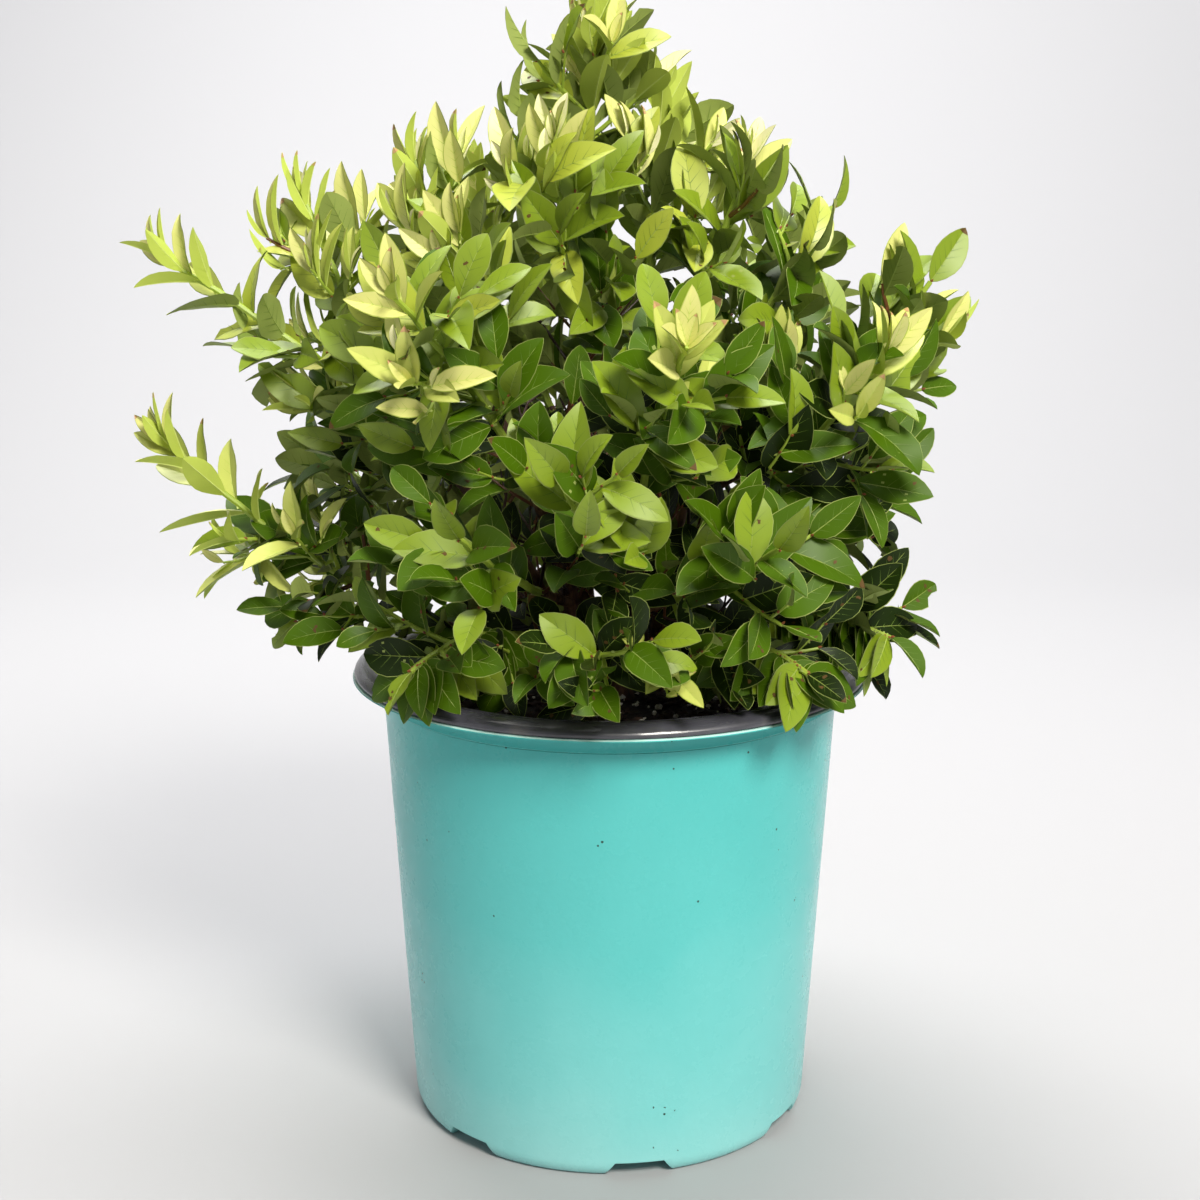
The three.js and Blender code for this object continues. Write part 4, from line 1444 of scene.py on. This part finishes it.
def lay_leaf(leaf):
    age = "fresh" if leaf.tint in FRESH_TINTS else "grown"
    points, faces = BLADES[leaf.blade]
    upper[leaf.tint].add(leaf.place(points), faces)

    below = points.copy()
    below[:, 1] *= 1 + 2 * MARGIN / leaf.width
    below[:, 0] = 0.5 + (below[:, 0] - 0.5) * (1 + MARGIN / leaf.length)
    below[:, 2] -= BLADE_THICKNESS
    under[age].add(leaf.place(below), [tuple(reversed(face)) for face in faces])

    line = np.zeros((len(RIB_SHARES), 3))
    line[:, 0] = RIB_SHARES
    line[:, 2] = -0.5 * BLADE_THICKNESS
    ribs[age].add(*tube(leaf.place(line), RIB_RADII, 4, leaf.up))

    for root in VEIN_ROOTS:
        for side in (-1, 1):
            end = root + VEIN_RUN
            across = side * 0.8 * half_width(leaf.blade, end)
            vein = np.array([(root, 0, 0.1 * mm), (root + VEIN_FOOT, 0, 0.1 * mm), (end, across, 0.08 * mm)])
            order = (0, 1, 2) if side > 0 else (0, 2, 1)
            veins[age].add(leaf.place(vein), [order])
            vein[:, 2] -= BLADE_THICKNESS + 0.2 * mm
            veins[age].add(leaf.place(vein), [order[::-1]])


TIP_FACES = [(0, 3, 4, 1), (1, 4, 5, 2), (3, 6, 4), (4, 6, 5)]


def lay_tip(leaf, pile):
    """Colours the very tip of a leaf on both of its sides."""
    patch = [(s, y * half_width(leaf.blade, s), 0.12 * mm) for s in (0.91, 0.955) for y in (-1, 0, 1)]
    patch = np.array(patch + [(1.0, 0.0, 0.12 * mm)])
    pile.add(leaf.place(patch), TIP_FACES)
    patch[:, 2] = -BLADE_THICKNESS - 0.12 * mm
    pile.add(leaf.place(patch), [tuple(reversed(face)) for face in TIP_FACES])


def lay_spots(leaf, random):
    """One to three brown spots on the upper side of a leaf, each an uneven ring of corners."""
    for _ in range(1 + int(3 * random())):
        middle = np.array([0.2 + 0.65 * random(), 0.0, 0.14 * mm])
        middle[1] = 1.3 * (random() - 0.5) * half_width(leaf.blade, middle[0])
        ring = np.tile(middle, (SPOT_CORNERS, 1))
        for i in range(SPOT_CORNERS):
            radius = (0.5 + 0.9 * random()) * mm
            turn = 2 * math.pi * i / SPOT_CORNERS
            ring[i, 0] += radius * math.cos(turn) / leaf.length
            ring[i, 1] += radius * math.sin(turn) / leaf.width
        spots.add(leaf.place(ring), [tuple(range(SPOT_CORNERS))])


spots, tips = Pile(), Pile()
spot_stream = seeded(77)
for leaf in leaves:
    lay_leaf(leaf)
    if leaf.flushed:
        lay_tip(leaf, spots if leaf.tint in GROWN_TINTS else tips)
    spotted = spot_stream() < 0.1 + 0.25 * lowness(leaf.root[2])
    if spotted and leaf.tint in GROWN_TINTS:
        lay_spots(leaf, spot_stream)


def leaf_piece(pile, name, card, roughness, gloss):
    material = plain_material(name, card, roughness, Specular_IOR_Level=gloss)
    finish_piece(pile.join(name, MIDRIB_CREASE), name, material, masses)


for tint, card in LEAF_PAINTS.items():
    leaf_piece(upper[tint], f"leaves_{tint}", card, 0.42, 0.18 if tint in SHADE_TINTS else 0.6)
leaf_piece(spots, "leaf_spots", "#5c4520", 0.7, 0.3)
leaf_piece(tips, "leaf_tips", "#c7a071", 0.5, 0.4)
for name, piles, roughness, gloss, grown_card, fresh_card in (
    ("undersides", under, 0.6, 0.25, "#95a457", "#b6c658"),
    ("midribs", ribs, 0.5, 0.4, "#98a954", "#cbd87a"),
    ("veins", veins, 0.5, 0.4, "#627c2b", "#b9cb58"),
):
    leaf_piece(piles["grown"], name, grown_card, roughness, gloss)
    leaf_piece(piles["fresh"], f"{name}_fresh", fresh_card, roughness, gloss)

# %% [markdown]
# ## Stems and buds
#
# This year's shoots are smooth and yellow-green, last year's twigs are reddish, and some old
# spurs are bare and nearly black. A small red bud sits in the angle of every grown leaf.

# %% Stems
STEM_PAINTS = {"green": "#9ab03f", "red": "#6e4426", "dead": "#34201a"}
twigs = {kind: Pile() for kind in STEM_PAINTS}
for kind, points, radii in stems:
    twigs[kind].add(*tube(points, radii, 7))
for kind, card in STEM_PAINTS.items():
    name = f"{kind}_twigs"
    material = plain_material(name, card, 0.45)
    finish_piece(twigs[kind].join(name), name, material, masses)

buds = Pile()
for leaf in leaves:
    if leaf.tint in GROWN_TINTS:
        base = leaf.root + 0.7 * mm * leaf.up
        tip = base + 2.0 * mm * unit(leaf.along + 0.9 * leaf.up)
        line = np.array([base, 0.5 * (base + tip), tip])
        buds.add(*tube(line, np.array([0.55, 0.65, 0.1]) * mm, 5))
finish_piece(buds.join("buds"), "buds", plain_material("buds", "#8f5232", 0.5), masses)

# %% [markdown]
# ## Floor, light and camera
#
# A pale floor that curves up into a backdrop leaves no horizon line. One broad light stands in
# front, high on the right, a weaker one fills from the left, a third from above and behind lifts
# the leaves off the backdrop, and a last one evens out the backdrop itself. The camera stands a
# little above the lip and looks down on the pot.

# %% Floor and backdrop
FLOOR_WIDTH = 8
FLOOR_DEPTH = 5
BACKDROP_HEIGHT = 4

clear_selection()
bpy.ops.mesh.primitive_plane_add(size=1)
floor = bpy.context.object
floor.name = "floor"
bpy.ops.object.mode_set(mode="EDIT")
bpy.ops.mesh.select_all(action="SELECT")
bpy.ops.transform.resize(value=(FLOOR_WIDTH, FLOOR_DEPTH, 1))
bpy.ops.mesh.select_all(action="DESELECT")
bpy.ops.mesh.select_mode(type="EDGE")
bpy.ops.object.mode_set(mode="OBJECT")
for edge in floor.data.edges:
    edge.select = all(floor.data.vertices[i].co.y > 0.4 * FLOOR_DEPTH for i in edge.vertices)
bpy.ops.object.mode_set(mode="EDIT")
bpy.ops.mesh.extrude_region_move(TRANSFORM_OT_translate={"value": (0, 0, BACKDROP_HEIGHT)})
bpy.ops.object.mode_set(mode="OBJECT")
apply_modifier(floor, "BEVEL", width=1.2, segments=16, limit_method="ANGLE", angle_limit=math.radians(30))
bpy.ops.object.shade_smooth()
floor.data.materials.append(plain_material("pale floor", "#acacaf", 0.7))


# %% Lights
def area_light(name, place, target, size, power, card="#ffffff"):
    light = bpy.data.lights.new(name, "AREA")
    light.shape = "DISK"
    light.size = size
    light.energy = power
    light.color = paint(card)[:3]
    lamp = bpy.data.objects.new(name, light)
    bpy.context.collection.objects.link(lamp)
    lamp.location = place
    lamp.rotation_euler = (Vector(target) - Vector(place)).to_track_quat("-Z", "Y").to_euler()


middle = (0, 0, 0.3)
area_light("key", (0.75, -1.6, 1.8), middle, 0.8, 68, "#fffaf0")
area_light("fill", (-1.9, -1.0, 0.9), middle, 1.6, 1)
area_light("rim", (-0.6, 1.2, 2.0), middle, 1.2, 22, "#fffdf6")
area_light("backdrop", (0, 0.6, 2.6), (0, 2.6, 0.9), 2.0, 106)

world = bpy.data.worlds.new("studio")
bpy.context.scene.world = world
world.use_nodes = True
world.node_tree.nodes["Background"].inputs["Color"].default_value = paint("#f6f6f4")
world.node_tree.nodes["Background"].inputs["Strength"].default_value = 0.3

# %% Camera
CAMERA_PLACE = (-5.0 * mm, -942.8 * mm, 474.7 * mm)
CAMERA_PITCH = math.radians(12.65)
FOCAL_SHARE = 1912.25 / 1200  # focal length as a share of the picture's width
SENSOR_WIDTH = 36

camera_data = bpy.data.cameras.new("camera")
camera = bpy.data.objects.new("camera", camera_data)
bpy.context.collection.objects.link(camera)
camera.location = CAMERA_PLACE
camera.rotation_euler = (math.pi / 2 - CAMERA_PITCH, 0, 0)
camera_data.sensor_width = SENSOR_WIDTH
camera_data.lens = SENSOR_WIDTH * FOCAL_SHARE
bpy.context.scene.camera = camera
bpy.context.scene.view_settings.view_transform = "Standard"
